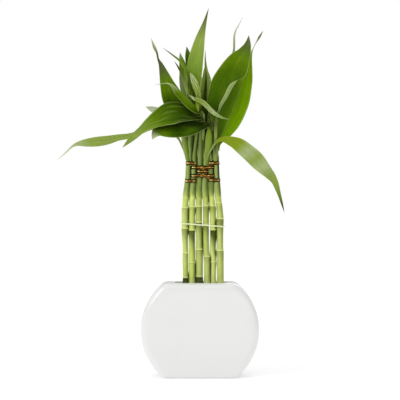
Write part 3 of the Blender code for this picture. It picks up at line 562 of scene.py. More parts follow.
# The columns seen from the front: at each height the outline on the left, the width of the five gaps
# between neighbouring columns, and the outline on the right; and the places of the gaps.
COLUMN_GAPS = np.array((
    (110, -20.9, 0, 0, 0.4, 0, 0.3, 28.5), (118, -20.5, 0, 0, 1.05, 0.2, 1.05, 28.5),
    (125, -20.8, 0.45, 0, 0.97, 0, 0.67, 28.5), (132, -20.9, 0.45, 0, 0.97, 0, 0.3, 28.4),
    (139, -21, 0.5, 0.45, 0.6, 0, 0.45, 28.5), (146, -20.8, 0.5, 0.37, 0.2, 0.45, 0, 28.5),
    (154, -20.8, 0.82, 0.75, 0, 0.67, 0.75, 27.9), (161, -21.5, 0.75, 0.75, 0, 1.05, 0.2, 27.9),
    (165, -21.8, 0.52, 0.75, 0, 1.05, 0, 27.9), (170, -22.2, 0, 0.5, 0, 1.05, 0, 27.9),
    (176, -22.2, 0, 0.15, 0.1, 1.12, 0, 28.1), (182, -22, 0.2, 0.37, 1.05, 1.05, 0, 28.4),
    (186, -22, 0.1, 0.45, 1.05, 1, 0.2, 28.3), (189, -22, 0, 0.45, 1.05, 0.97, 0.9, 28.1),
    (194, -22, 0, 0.2, 0.9, 0.52, 0.75, 27.6), (198, -22, 0, 0, 0.75, 0, 0.3, 27.3),
    (201, -21.4, 0.3, 0.5, 0.8, 0.2, 0.5, 26.9), (204, -20.9, 0.6, 0.97, 0.97, 0.45, 0.67, 26.4),
    (208, -20.9, 0.37, 0.52, 0.67, 0, 0.82, 25.7), (213, -20.7, 0, 0, 0, 0, 0.6, 25.3),
    (220, -19.9, 0, 0, 0, 0, 0.2, 24.9), (226, -18.9, 0, 0, 0, 0, 0, 24.3)))
GAP_PLACES = np.array((
    (110, -13.7, -5.4, 4.2, 12.5, 19.5), (141, -13.7, -5.4, 4.2, 12.5, 19.5),
    (146, -13.7, -5.4, 3.4, 11.6, 18.5), (154, -13.7, -5.4, 3, 11.3, 19.4),
    (172, -13.9, -5.4, 3, 11.3, 19.4), (182, -13.7, -5.4, 3, 11.3, 18.6),
    (190, -13.7, -5.4, 3, 11.3, 19.6), (198, -13.7, -5.4, 3, 11, 19.4),
    (204, -13.7, -5.4, 3, 10.8, 18.5), (213, -13, -5.4, 2.4, 10.2, 17.2),
    (220, -12.6, -5.3, 1.9, 10.1, 16.6), (226, -12, -4.6, 2.2, 9.9, 16.6)))
GAP_SHUT = 0.25
GAP_OPEN = 0.5
BACK_ASIDE = 0.45
# How slim the shoots of each column are, how broad they lie under the ties, and how light the canes are.
CANE_FORM = ((0.94, 1.2), (0.96, 1.2), (0.96, 1.2), (0.96, 1.2), (0.96, 1.24), (0.92, 1.04))
CANE_LEVEL = (0.95, 1.12, 0.86, 0.9, 1.08, 0.9)
OUTER_BACK_SLIM = 0.66
CANE_PALE = linear(204, 216, 126)
CANE_FRESH = linear(190, 204, 100)
CANE_OLIVE = linear(58, 74, 0)
CANE_GAP_SHADE = linear(22, 36, 0)
CANE_RING = linear(214, 222, 140)
CANE_GLOW = linear(238, 244, 170)
CANE_TOP = linear(200, 214, 112)
CANE_SCAR = linear(112, 96, 44)
CANE_STUB = linear(58, 70, 32)
SHEATH_GREEN = linear(118, 138, 64)
SHEATH_PALE = linear(152, 170, 92)
SHEATH_LIT_EDGE = linear(184, 200, 112)
SPEAR_GREEN = linear(84, 110, 30)

cane_green = Finish("cane_green", {
    "IOR": 1.45, "Specular IOR Level": 0.12, "Coat Roughness": 0.25, "Subsurface Weight": 0.35,
    "Subsurface Radius": (0.8, 1.0, 0.2), "Subsurface Scale": 2.5 * MM})
cane_tint = cane_green.painted("tint", "Color")
cane_x, cane_y, cane_z = cane_green.axes(cane_green.painted("grain", "Vector"))
fibre = cane_green.noise(cane_green.stretched(cane_x * 9.0, cane_y * 9.0, cane_z * 55.0), 1.0, 4.0, 0.6)
cloud = cane_green.noise(cane_green.stretched(cane_x * 1.2, cane_y * 1.2, cane_z * 120.0), 1.0, 3.0)
fleck = cane_green.between(cane_green.noise(
    cane_green.stretched(cane_x * 7.0, cane_y * 7.0, cane_z * 700.0), 1.0, 2.0), 0.66, 0.76)
cane_shade = cane_green.scaled(cane_tint, 0.74 + fibre * 0.3 + cloud * 0.22)
cane_green.feed(cane_green.shader, {
    "Base Color": cane_green.blend(fleck * 0.4, cane_shade, opaque(112, 110, 52)),
    "Roughness": 0.42 + fibre * 0.22,
    "Coat Weight": 0.04 - fleck * 0.03,
})
cane_green.relief(fibre - fleck * 0.3, 0.12 * MM, 0.5)


def spline(points, shares):
    """Places on the smooth curve through the points, for shares from 0 to 1, even over its spans."""
    spans = len(points) - 1
    at = np.clip(shares, 0, 1) * spans
    i = np.minimum(at.astype(int), spans - 1)
    f = (at - i)[:, None]
    padded = np.vstack([2 * points[0] - points[1], points, 2 * points[-1] - points[-2]])
    p0, p1, p2, p3 = (padded[i + k] for k in range(4))
    return 0.5 * (2 * p1 + (p2 - p0) * f + (2 * p0 - 5 * p1 + 4 * p2 - p3) * f ** 2
                  + (3 * p1 - p0 - 3 * p2 + p3) * f ** 3)


def lengths(row):
    return np.linalg.norm(row, axis=-1, keepdims=True)


def paint_mix(first, second, share):
    """Colours from first to second by a share for each point."""
    return first + (second - first) * np.asarray(share)[..., None]


def waist_at(height):
    """Column pitch, row pitch and stalk radius at a height, all in metres."""
    level = height / MM
    for low, high in zip(WAIST, WAIST[1:]):
        if level <= high[0]:
            share = eased((level - low[0]) / (high[0] - low[0]))
            return [(low[k] + (high[k] - low[k]) * share) * MM for k in (1, 2, 3)]
    return [WAIST[-1][k] * MM for k in (1, 2, 3)]


def stalk_place(column, row, height):
    """Centre of a stalk at a height below the top of the ties."""
    pitch, row_pitch, _ = waist_at(height)
    return np.array((*bundle_place(column, row, pitch, row_pitch), height))


def shoot_route(stalk):
    """The places that a shoot passes, from the ties to its tip."""
    tied = [stalk_place(stalk.column, stalk.row, level * MM) for level in (TIES_BELOW, TIES_TOP)]
    return np.array(tied + [np.array(place) * MM for place in stalk.shoot])


def cane_sides(column, row, levels):
    """Where the left and right sides of a cane are at each height, and how open the gaps beside it are."""
    found = []
    for gap, side in ((column - 1, 1), (column, -1)):
        if 0 <= gap < COLUMNS - 1:
            width = np.interp(levels, COLUMN_GAPS[:, 0], COLUMN_GAPS[:, 2 + gap])
            middle = np.interp(levels, GAP_PLACES[:, 0], GAP_PLACES[:, 1 + gap])
            opened = np.clip(width / GAP_OPEN, 0, 1)
            if row == BACK:
                middle, width = middle * 1.006 + BACK_ASIDE * (1 - opened), width + 0.1
            found.append((middle + side * np.maximum(width, GAP_SHUT) / 2, opened))
        else:
            outline = np.interp(levels, COLUMN_GAPS[:, 0], COLUMN_GAPS[:, 1 if side > 0 else -1])
            found.append((outline + side * (0.3 if row == BACK else 0), np.ones_like(outline)))
    return found


def node_distance(levels, nodes):
    """How far each height is from the nearest node ring."""
    return np.abs(levels[:, None] - np.array(nodes)[None]).min(axis=1)


def cane_rings(stalk, draw):
    """Rings of the cane and shoot from the foot to the spear, with the tint and grain of their points."""
    column, row, nodes = stalk.column, stalk.row, stalk.nodes
    plain = np.arange(STALK_FOOT / MM, TIES_TOP, CANE_STEP)
    plain = plain[node_distance(plain, nodes) > NODE_CLEAR]
    levels = np.unique(np.concatenate([plain, [TIES_TOP], SHOOT_START / MM + HEM_STEPS]
                                      + [node + NODE_STEPS for node in nodes]))
    angles = np.linspace(0, 2 * math.pi, CANE_AROUND, endpoint=False)
    around = np.column_stack([np.cos(angles), np.sin(angles), np.zeros(CANE_AROUND)])
    _, wander_phase, lap_phase, _ = draw.uniform(0, 6, 4)
    slimness, breadth = CANE_FORM[column]
    if row == BACK:
        slimness = OUTER_BACK_SLIM if column in (0, COLUMNS - 1) else 1
    (left, left_open), (right, right_open) = cane_sides(column, row, levels)
    centres, radii, swells = [], [], []
    for level in levels:
        calm = eased((WANDER_TO - level) / 30) * eased((level - WANDER_FROM) / 14)
        wander = np.array((0, 0.14 * math.sin(level / 23 + wander_phase) * calm, 0)) * MM
        centres.append(stalk_place(column, row, level * MM) + wander)
        swells.append(sum(np.interp(level - node, NODE_STEPS, NODE_SWELL) for node in nodes) * MM)
        radii.append(waist_at(level * MM)[2] + 0.1 * MM * eased((level - SHOOT_START / MM + 0.1) / 0.25))
    shares = np.linspace(0.27, 1, SHOOT_RINGS)
    shoot_radius = np.interp(shares, *zip(*SHOOT_FORM)) * MM
    shoot_radius *= 1 + (slimness - 1) * eased((shares - 0.3) / 0.15)
    centres = np.vstack([centres, spline(shoot_route(stalk), shares)])
    radii = np.concatenate([radii, shoot_radius])
    wide = radii.copy()
    low = eased((COLUMNS_TO - levels) / 8)
    below = slice(len(levels))
    centres[below, 0] += ((left + right) / 2 * MM - centres[below, 0]) * low
    wide[below] += ((right - left) / 2 * MM - wide[below]) * low
    radii[below] += (np.minimum(wide[below], radii[below] * 1.04) - radii[below]) * low
    levels = centres[:, 2] / MM
    swells = np.concatenate([swells, np.zeros(SHOOT_RINGS)])
    lap = eased((levels - LAPS_FROM) / 10)[:, None] * 0.35 * MM * np.maximum(
        0, 1 - np.abs((angles - levels[:, None] / 26 + lap_phase) % (2 * math.pi) - 1.2) / 0.8)
    broad, flat = (1 + (breadth - 1) * eased((levels - start) / reach) * eased((BROAD_TO - levels) / 30)
                   for start, reach in ((BROAD_FROM, 8), (FLAT_FROM, 12)))
    swell = swells[:, None] * (0.35 + 0.65 * np.sin(angles) ** 2)
    rings = centres[:, None] + around[None] * np.stack([
        (wide * broad)[:, None] + lap + swell, (radii * (2 - flat))[:, None] + lap + swell,
        np.zeros_like(lap + swell)], axis=-1)
    slant = draw.uniform(-0.22, 0.22, 2) * MM
    rings[..., 2] += (np.exp(-node_distance(levels, nodes) / 3)[:, None]
                      * (slant[0] * np.cos(angles) + slant[1] * np.sin(angles)))
    seed = draw.uniform(0, 9)
    grain = np.broadcast_to(around[None], rings.shape) + np.array((seed, seed * 1.7, 0))
    grain[..., 2] = rings[..., 2]
    opened = [np.concatenate([side_open, np.ones(SHOOT_RINGS)]) for side_open in (left_open, right_open)]
    return rings, cane_colours(stalk, rings[..., 2] / MM, angles, opened, draw), grain


def cane_colours(stalk, levels, angles, opened, draw):
    """Pale green, olive under each node ring and pale yellow over it, then the green of the sheaths. Painted
    shade darkens the right sides and where canes touch, and a painted glow lights the rims by open gaps and
    the feet over the mouth; on the shoots, painted shade fills the gaps and a painted highlight lies on the
    left edges.
    """
    lightness = CANE_LEVEL[stalk.column]
    wave = 0.5 + 0.5 * np.sin(levels / 31 + draw.uniform(0, 6) + 0.8 * np.sin(angles + draw.uniform(0, 6)))
    colours = paint_mix(CANE_PALE, CANE_FRESH, wave) * lightness
    shades = stalk.shades or draw.uniform(0.2, 0.9, len(stalk.nodes))
    facing = np.cos(angles + 0.2)
    for node, shade in zip(stalk.nodes, shades):
        under = node - levels
        # The olive under each ring is the cane's own colour; its reaching further and darker on the right
        # side is painted shade.
        reach = (5 + 13 * shade) * (1 + 0.5 * facing)
        strength = np.minimum(1, (1.1 + 0.2 * facing) * np.exp(-(under / reach) ** 2))
        colours = paint_mix(colours, CANE_OLIVE, np.where(under > 0, shade * strength, 0))
    at_top = eased((levels - PALE_TOP_FROM) / 3) * eased((PALE_TOP_TO - levels) / 3)
    colours = paint_mix(colours, CANE_TOP * lightness, 0.75 * at_top)
    below_hem = eased((UNDER_HEM_TO - levels) / 10)
    # Painted shade: olive over the right side of each cane up to the hem.
    colours = paint_mix(colours, CANE_OLIVE, 0.4 * np.exp(-((facing - 0.8) / 0.34) ** 2) * below_hem)
    # Painted shade: olive where a cane's side touches its neighbour; painted glow: a pale rim beside an open
    # gap.
    for turn, side_open in zip((-1, 1), opened):
        beside = turn * np.cos(angles)
        shut = (1 - side_open)[:, None] * eased((beside - 0.45) / 0.5)
        colours = paint_mix(colours, CANE_OLIVE, 0.7 * shut)
        rim = side_open[:, None] * eased((beside - 0.86) / 0.1) * below_hem
        colours = paint_mix(colours, CANE_GLOW, 0.6 * rim)
    # Painted glow on the feet of the canes just over the mouth.
    colours = paint_mix(colours, CANE_GLOW, 0.5 * eased((FOOT_GLOW_TO - levels) / 5))
    for node in stalk.nodes:
        over = levels - node
        ring = eased((over + 0.05) / 0.3) * eased((2.6 - over) / 1.8)
        colours = paint_mix(colours, CANE_RING, 0.8 * ring)
        colours = paint_mix(colours, CANE_SCAR, 0.65 * np.exp(-((over + 0.18) / 0.22) ** 2))
    around = 0.5 + 0.5 * np.sin(2 * angles + levels / 40 + draw.uniform(0, 6))
    sheath = paint_mix(SHEATH_GREEN, SHEATH_PALE, around)
    sheath = paint_mix(sheath, CANE_TOP, 0.55 * eased((PALE_SHEATH_TO - levels) / 12))
    # Painted shade on the right side of each shoot, darkest in the gaps between shoots, and a painted
    # highlight on its left edge.
    sheath = paint_mix(sheath, CANE_OLIVE, 0.6 * eased((facing + 0.1) / 1.0))
    deep = eased((facing - 0.35) / 0.5) * eased((levels - GAP_SHADE_FROM) / 14)
    sheath = paint_mix(sheath, CANE_GAP_SHADE, 0.95 * deep)
    sheath = paint_mix(sheath, SHEATH_LIT_EDGE, 0.6 * eased((-facing - 0.55) / 0.35))
    hem = draw.uniform(HEM_LOW, HEM_HIGH) + draw.uniform(-1, 1) * np.cos(angles + draw.uniform(0, 6))
    colours = paint_mix(colours, sheath, eased((levels - hem) / draw.uniform(1.2, 3.6)))
    colours = paint_mix(colours, SPEAR_GREEN, 0.75 * eased((levels - SPEAR_FROM) / 26))
    if stalk.stub:
        colours = paint_mix(colours, CANE_STUB, 0.9 * eased((stalk.stub - 0.3 - levels) / 0.5))
    return colours


# The leaves: long thin blades that grow from the sheaths of the shoots, folded along the rib, with fine
# veins, paler below and at the rib, and dry at the tip. Strips of old dry sheath still hug the shoots over
# the ties.
# Painted light and shade also lie on some blades: on one half of folded blades, along pleats, and on the
# sides of curled strips.
LEAF_END = 0.12
ROLLED_SHARE = 0.34
LEAF_THICK = 0.42 * MM
LEAF_MARGIN = 0.16 * MM
WIDE_LEAF = 5
# Millimetres between the stations of a leaf, and how few and how many it may have.
LEAF_STEP = 1.9
CRINKLED_STEP = 0.9
LEAF_STATIONS = (34, 84)
SHEATH_AROUND = 24
SHEATH_LOWEST = 257.2 * MM
SHEATH_LEAST = 4 * MM
SHEATH_LENGTHS = (16, 26)
# How much narrower a sheath is at some heights in metres.
SHEATH_NARROWING = ((0.256, 0.95), (0.262, 1), (0.29, 0.97), (0.31, 0.7))
# Shares of a sheath's height where it has a ring, up its outside and back down a little way inside.
SHEATH_RISE = [*((share, 0) for share in np.linspace(0, 1, 12)),
               *((share, 1) for share in np.linspace(1, 0.75, 3))]
STRAIGHT_ON = ((0, -1, 0), (0, -1, 0))
TONES = {
    "black": linear(16, 28, 0), "night": linear(31, 50, 0), "deep": linear(50, 79, 0),
    "dark": linear(69, 100, 0), "mid": linear(94, 124, 8), "fresh": linear(112, 152, 0),
    "bright": linear(136, 170, 8), "olive": linear(132, 152, 30), "grass": linear(118, 146, 50),
    "pale": linear(142, 162, 76), "silver": linear(172, 186, 130), "ghost": linear(206, 214, 184),
    "dusk": linear(84, 92, 52), "lime": linear(196, 222, 120), "sheath": linear(136, 158, 76),
    "fresh_sheath": linear(132, 164, 36), "grey_sheath": linear(136, 154, 86)}
LEAF_UNDER = linear(176, 192, 124)
LEAF_BASE = linear(150, 170, 60)
LEAF_RIB_AND_HIGHLIGHT = linear(190, 206, 120)
LEAF_SHADED_SIDE = linear(64, 84, 14)
LEAF_DRY = linear(200, 206, 168)

leaf_green = Finish("leaf_green", {"IOR": 1.45, "Specular IOR Level": 0.05})
leaf_tint = leaf_green.painted("tint", "Color")
across, onward, seed = leaf_green.axes(leaf_green.painted("grain", "Vector"))
streak = leaf_green.noise(leaf_green.stretched(across * 7.0, onward * 14.0, seed * 7.0), 1.0, 4.0, 0.6)
strand = leaf_green.noise(leaf_green.stretched(across * 34.0, onward * 22.0, seed * 3.0), 1.0, 2.0)
cloud = leaf_green.noise(leaf_green.stretched(across * 1.4, onward * 60.0, seed * 5.0), 1.0, 3.0)
vein = leaf_green.node("ShaderNodeMath", {"operation": "SINE"}, {0: across * 58.0 + streak * 1.5})
leaf_shade = leaf_green.scaled(leaf_tint, 0.52 + streak * 0.5 + strand * 0.24 + cloud * 0.3 + vein * 0.05)
yellowing = leaf_green.between(cloud, 0.5, 0.85) * 0.2
leaf_green.feed(leaf_green.shader, {
    "Base Color": leaf_green.blend(yellowing, leaf_shade, opaque(140, 165, 20)),
    "Roughness": 0.3 + streak * 0.24,
})
leaf_bump = leaf_green.relief(vein * 0.5 + streak * 1.4 + strand * 0.5, 0.1 * MM, 0.5)
through = leaf_green.node("ShaderNodeBsdfTranslucent", {},
                          {"Color": opaque(176, 205, 40), "Normal": leaf_bump})
leaf_mixed = leaf_green.node("ShaderNodeMixShader", {},
                             {0: 0.12, 1: Field(leaf_green, leaf_green.shader.outputs[0]), 2: through})
leaf_green.feed(leaf_green.nodes["Material Output"], {"Surface": leaf_mixed})


def blade(tones, path, **traits):
    """A leaf or a strip of sheath: its tones from base to tip ("dark*3" is dark three times), its path of
    stations from inside the shoot to the tip, each with its place and half width, and its traits. These are
    the ways its upper face looks at base and tip, how far its halves fold up or curl down in degrees, the
    margin that rolls over (its side, the angle, and the shares of the length between which it does), its
    pleats and crinkle, the tone and spread of painted light or shade on its right half, and how far its rib,
    base, dry tip and underside differ. Pleats and curl also bring painted highlight and shade."""
    named = dict(face=STRAIGHT_ON, fold=0, curl=0, roll=None, pleat=0.14, crinkle=0, right=None, split=1.1,
                 rib=0.05, base=0.35, dry=0.4, under=0.6)
    named.update(traits)
    stops = []
    for word in tones.split():
        tone, _, times = word.partition("*")
        stops += [TONES[tone]] * int(times or 1)
    return SimpleNamespace(tones=stops, path=path, **named)


def leaf_rings(leaf, draw):
    """Closed sections of a thin blade from its channelled base to its tip, with their tint and grain."""
    path = np.array(leaf.path, float)
    path[-1, 3] = LEAF_END
    fine = spline(path, np.linspace(0, 1, 600))
    run = np.concatenate([[0], np.cumsum(lengths(np.diff(fine[:, :3], axis=0)))])
    count = int(np.clip(run[-1] / (CRINKLED_STEP if leaf.crinkle else LEAF_STEP), *LEAF_STATIONS))
    share = np.linspace(0, 1, count + 1)
    share = share + 0.35 * (share - share ** 2) * (share - 0.4)
    stations = np.column_stack([np.interp(share * run[-1], run, fine[:, k]) for k in range(4)])
    centres, half = stations[:, :3] * MM, np.maximum(stations[:, 3], LEAF_END) * MM
    ahead = np.gradient(centres, axis=0)
    ahead /= lengths(ahead)
    first, last = (np.array(face) / np.linalg.norm(face) for face in leaf.face)
    facing = first + (last - first) * share[:, None]
    sway = 0.1 * np.sin(share * draw.uniform(4, 8) + draw.uniform(0, 6)) * eased(share / 0.3)
    turn_x, turn_y = np.cos(sway)[:, None], np.sin(sway)[:, None]
    side = np.cross(ahead, facing)
    side /= lengths(side)
    up = np.cross(side, ahead)
    side, up = side * turn_x + up * turn_y, up * turn_x - side * turn_y
    v = np.linspace(0, 1, 13 if path[:, 3].max() > WIDE_LEAF else 8) ** 0.92
    curl = math.radians(leaf.curl)
    channel = (1 - eased(share / 0.16))[:, None] * (0 if leaf.curl else 1.25)
    fold = math.radians(leaf.fold) * eased(share / 0.15)[:, None]
    lift = draw.uniform(0.35, 0.75) * MM * np.clip(half / (9 * MM), 0, 1)
    pleat = leaf.pleat * MM * np.clip(half / (8 * MM), 0, 1)[:, None] * np.sin(v * 15 + share[:, None] * 3)
    halves = []
    for turn in (-1, 1):
        angle = channel * v + fold * (1.35 - 0.7 * v) - curl * v
        step = np.diff(v) * half[:, None]
        if leaf.roll and leaf.roll[0] == turn:
            _, degrees, start, end = leaf.roll
            inside = eased((1 - np.abs(share - (start + end) / 2) / ((end - start) / 2)) * 1.4)[:, None]
            angle = angle + math.radians(degrees) * inside * eased((v - 0.4) / 0.34)
            step = step * (1 - ROLLED_SHARE * inside * eased((v[1:] - 0.55) / 0.2))
        middle = (angle[:, 1:] + angle[:, :-1]) / 2
        at_rib = np.zeros((count + 1, 1))
        out = np.concatenate([at_rib, np.cumsum(step * np.cos(middle), axis=1)], axis=1)
        rise = np.concatenate([at_rib, np.cumsum(step * np.sin(middle), axis=1)], axis=1)
        wave = np.sin(run[-1] * share / draw.uniform(9, 14) * 2.2 + draw.uniform(0, 6))
        rise = rise + (lift * wave)[:, None] * v ** 2.5 + pleat
        if leaf.crinkle:
            rise = rise + 0.3 * MM * draw.uniform(-1, 1, rise.shape) * v
        halves.append((turn * out, rise, turn * angle))
    out, rise, lean = (np.concatenate([halves[0][k][:, :0:-1], halves[1][k]], axis=1) for k in range(3))
    u = np.concatenate([-v[:0:-1], v])
    side, up = side[:, None], up[:, None]
    middle = centres[:, None] + side * out[..., None] + up * rise[..., None]
    normal = up * np.cos(lean)[..., None] - side * np.sin(lean)[..., None]
    onward = side * np.cos(lean)[..., None] + up * np.sin(lean)[..., None]
    taper = np.clip(half / (2.2 * MM), 0.3, 1)[:, None]
    thick = (LEAF_MARGIN + (LEAF_THICK - LEAF_MARGIN) * (1 - u ** 2)[None]) * taper
    rib = 0.4 * MM * np.exp(-(u / 0.07) ** 2)[None] * (1 - share[:, None]) * taper
    groove = 0.12 * MM * np.exp(-(u / 0.05) ** 2)[None] * taper
    upper = middle + normal * (thick / 2 - groove)[..., None]
    lower = middle - normal * (thick / 2 + rib)[..., None]
    edge = 0.5 * thick[:, :1, None]
    left = middle[:, :1] - onward[:, :1] * edge
    right = middle[:, -1:] + onward[:, -1:] * edge
    rings = np.concatenate([upper, right, lower[:, ::-1], left], axis=1)
    tint = leaf_colours(leaf, share, u, draw)
    grain = np.zeros(rings.shape)
    grain[..., 0] = np.concatenate([u, [1], u[::-1], [-1]])
    grain[..., 1] = (share * run[-1] * MM)[:, None]
    grain[..., 2] = draw.uniform(0, 9)
    return rings, tint, grain


def leaf_colours(leaf, share, u, draw):
    """Tint of each point of a leaf's sections: yellower at the base, a pale rib, and a greyer underside,
    with painted light or shade on the right half, painted highlight and shade along pleats, and on curled
    strips painted shade on the right side and a painted highlight on the left edge.
    """
    along = np.broadcast_to(share[:, None], (len(share), len(u)))
    across = np.broadcast_to(u, along.shape)
    stops = np.linspace(0.05, 0.95, len(leaf.tones))
    face = np.stack([np.interp(along, stops, channel) for channel in zip(*leaf.tones)], axis=-1)
    # Painted light or shade on the right half of the blade.
    if leaf.right:
        spread = eased(across * leaf.split + 0.45)
        face = paint_mix(face, TONES[leaf.right], 0.85 * spread * eased((1 - along) / 0.2))
    face = face * draw.uniform(0.94, 1.06)
    # Painted highlight and shade in bands along the pleats.
    if leaf.pleat > 0.3:
        fold = np.sin(np.abs(across) * 15 + along * 5 + 1.6 * np.sin(along * 9)) * np.sin(
            along * 9 + 2 * across + 0.6)
        face = paint_mix(face * (0.96 + 0.18 * fold)[..., None], LEAF_RIB_AND_HIGHLIGHT, 0.3 * np.maximum(fold - 0.5, 0))
    # On curled strips: painted shade over the right side and a painted highlight on the left edge.
    if leaf.curl:
        face = paint_mix(face, LEAF_SHADED_SIDE, 0.55 * eased((across - 0.1) / 0.9))
        face = paint_mix(face, LEAF_RIB_AND_HIGHLIGHT, 0.7 * eased((-across - 0.55) / 0.35))
    else:
        face = paint_mix(face, LEAF_RIB_AND_HIGHLIGHT, leaf.rib * np.exp(-(across / 0.04) ** 2) * (1 - along * 0.6))
        face = paint_mix(face, LEAF_BASE, leaf.base * (1 - eased((along - 0.04) / 0.16)))
        face = paint_mix(face, LEAF_RIB_AND_HIGHLIGHT, 0.45 * eased((np.abs(across) - 0.93) / 0.07))
        face = paint_mix(face, LEAF_DRY, leaf.dry * eased((along - 0.86) / 0.14))
    if leaf.crinkle:
        stripes = (0.7 * np.sin(across * 9 + along * 16 + np.sin(along * 40))
                   + 0.3 * np.sin(along * 90 + across * 9)
                   + 0.15 * draw.uniform(-1, 1, along.shape))
        face = face * (1 + leaf.crinkle * stripes)[..., None]
    under = paint_mix(face, LEAF_UNDER, leaf.under * (0.35 + 0.65 * eased((along - 0.08) / 0.3)))
    right, left = ((face[:, k] + under[:, k])[:, None] / 2 for k in (-1, 0))
    return np.concatenate([face, right, under[:, ::-1], left], axis=1)


def sheath_rings(stalk, leaf, draw):
    """A thin sheath round the shoot, open at its top where its leaf leaves, or none if too low."""
    base = np.array(leaf.path[0])
    ahead = np.array(leaf.path[2]) - base
    leaving = math.atan2(ahead[1], ahead[0])
    dense = spline(shoot_route(stalk), np.linspace(0.25, 1, 200))
    top = base[2] * MM + 2 * MM
    bottom = max(SHEATH_LOWEST, top - draw.uniform(*SHEATH_LENGTHS) * MM)
    if top - bottom < SHEATH_LEAST:
        return None
    angles = np.linspace(0, 2 * math.pi, SHEATH_AROUND, endpoint=False)
    rise = np.cos(angles - leaving)
    rings = []
    for share, inner in SHEATH_RISE:
        level = bottom + (top - bottom) * share
        heights = level + eased((share - 0.5) / 0.5) * (1.5 + 3.2 * rise) * MM
        x, y = (np.interp(heights, dense[:, 2], dense[:, k]) for k in (0, 1))
        swell = 3.12 + 0.1 * share + eased((share - 0.7) / 0.3) * (0.2 + 0.5 * (rise > 0) * rise)
        narrow = np.interp(heights, *zip(*SHEATH_NARROWING))
        radius = (swell * narrow - 0.28 * inner) * MM
        rings.append(np.column_stack([x + radius * np.cos(angles), y + radius * np.sin(angles), heights]))
    rings = np.array(rings)
    paler = eased(np.linspace(0, 1, len(rings)))[:, None] * 0.8 + 0.1 * rise[None]
    grain = np.stack(np.broadcast_arrays(np.cos(angles)[None] + draw.uniform(0, 9), np.sin(angles)[None],
                                         rings[..., 2]), axis=-1)
    return rings, paint_mix(SHEATH_GREEN, SHEATH_PALE, paler), grain


growth = []


def grow_stalk(side, column, row, nodes, shoot, shades=None, stub=None, strips=(), **leaves):
    """One stalk in its column and row: the heights of its node rings, the way its shoot leans above the
    ties, how dark the cane is under each ring, up to what height its foot is dark, its strips of dry sheath,
    and its leaves."""
    stalk = SimpleNamespace(column=column, row=row, nodes=nodes, shoot=shoot, shades=shades, stub=stub)
    draw = np.random.default_rng(len(growth))
    cane_skin, leaf_skin = Skin(), Skin()
    cane_skin.add_loft(*cane_rings(stalk, draw))
    for sheath in [sheath_rings(stalk, leaf, draw) for leaf in leaves.values()]:
        if sheath:
            cane_skin.add_loft(*sheath)
    for leaf in (*leaves.values(), *strips):
        leaf_skin.add_loft(*leaf_rings(leaf, draw))
    growth.append((cane_skin.make(f"cane_{side}", cane_green),
                   leaf_skin.make(f"leaves_{side}", leaf_green)))
    for piece in growth[-1]:
        dress(piece, "leaf_and_cane", f"stalk_{side}")


# The stalks one by one, the front row and then the back row, each from the left.
# Dark tones and dark right halves given to the sheath strips over the ties are painted shade in the gaps
# between the shoots.
grow_stalk(
    "front_1", 0, FRONT, nodes=(116.2, 145.2, 174.4, 199), shades=(0.9, 0.15, 0.5, 0.2), stub=116.2,
    shoot=((-17.6, -5, 272), (-19.8, -7.2, 290), (-21.4, -8.2, 308)),
    tall_left=blade("deep dark*3 mid dusk*2 silver", (
        (-19.3, -6.6, 284, 2.4), (-21.8, -8.3, 299, 5.2), (-26, -9, 313, 10), (-31, -9.3, 325, 12.8),
        (-34.4, -9.5, 334, 12.1), (-38.9, -9.5, 345.6, 8.9), (-42.7, -9.5, 358, 5.7),
        (-46.3, -9.5, 369, 2.8), (-49.6, -9.5, 376, 1.2), (-51.2, -9.5, 383.6, 1.3),
        (-54.4, -9.5, 390.4, 1.8), (-57.9, -9.5, 400.8, 0.5)), face=((0.1, -1, 0.15), (0.35, -1, 0)),
        fold=8, dry=0.1),
    strips=(
        blade("sheath", (
            (-14, -5.7, 249.3, 2.4), (-14.1, -6.1, 254.6, 2.6), (-14.7, -7.2, 258, 3.4),
            (-15.9, -8.3, 265.9, 3.8), (-17.1, -9.4, 275.3, 3.6), (-18.1, -10.3, 283.6, 3.2),
            (-19.2, -11, 293, 2.6), (-19.7, -11.1, 298.9, 1.7)), curl=60, right="mid"),
    ))
grow_stalk(
    "front_2", 1, FRONT, nodes=(133.9, 172.6, 200), shades=(0, 0.88, 0.25),
    shoot=((-11.3, -5.2, 272), (-12.8, -7.3, 290), (-13.4, -8, 308)),
    needle_upper=blade("mid grass mid*2 grass dusk", (
        (-12.8, -7.5, 296, 2), (-13.2, -11, 309, 2.2), (-12.7, -14, 320, 2.4), (-11.6, -15.6, 332, 2.6),
        (-11, -16, 343, 2.8), (-13.8, -16, 354, 3.2), (-19.4, -16, 365.4, 3.3), (-25.4, -16, 373.1, 3.3),
        (-31.5, -16, 378.4, 2.2), (-38, -15.6, 383.9, 1.2), (-44.5, -15, 389, 0.45)),
        face=((0.5, -0.7, 0.5), (0.4, -0.5, 0.8)), fold=22, dry=0.1),
    needle_lower=blade("lime pale lime pale dusk", (
        (-12.6, -7.2, 292, 2), (-13.9, -11, 306, 2.2), (-14.3, -13.6, 318, 2.4), (-14.6, -15, 330, 2.6),
        (-16.4, -15.4, 341, 2.7), (-20.2, -15.2, 352.4, 2.7), (-24.2, -14.8, 361.6, 2.2),
        (-27.2, -14.5, 367.6, 1.4), (-30.4, -14, 372.8, 0.5)), face=((0.6, -0.7, 0.3), (0.4, -0.6, 0.6)),
        fold=22, dry=0.1),
    strips=(
        blade("sheath grey_sheath", (
            (-10.7, -5.7, 249.3, 1.6), (-10.9, -6.1, 254.6, 1.6), (-11.2, -7.4, 259, 1.8),
            (-11, -8.6, 268.2, 2.5), (-11.4, -9.6, 276.5, 3.3), (-10.9, -10.4, 284.8, 4.2),
            (-10, -11, 293, 4.2), (-9, -11.1, 301.3, 2.9)), curl=45, right="night"),
    ))
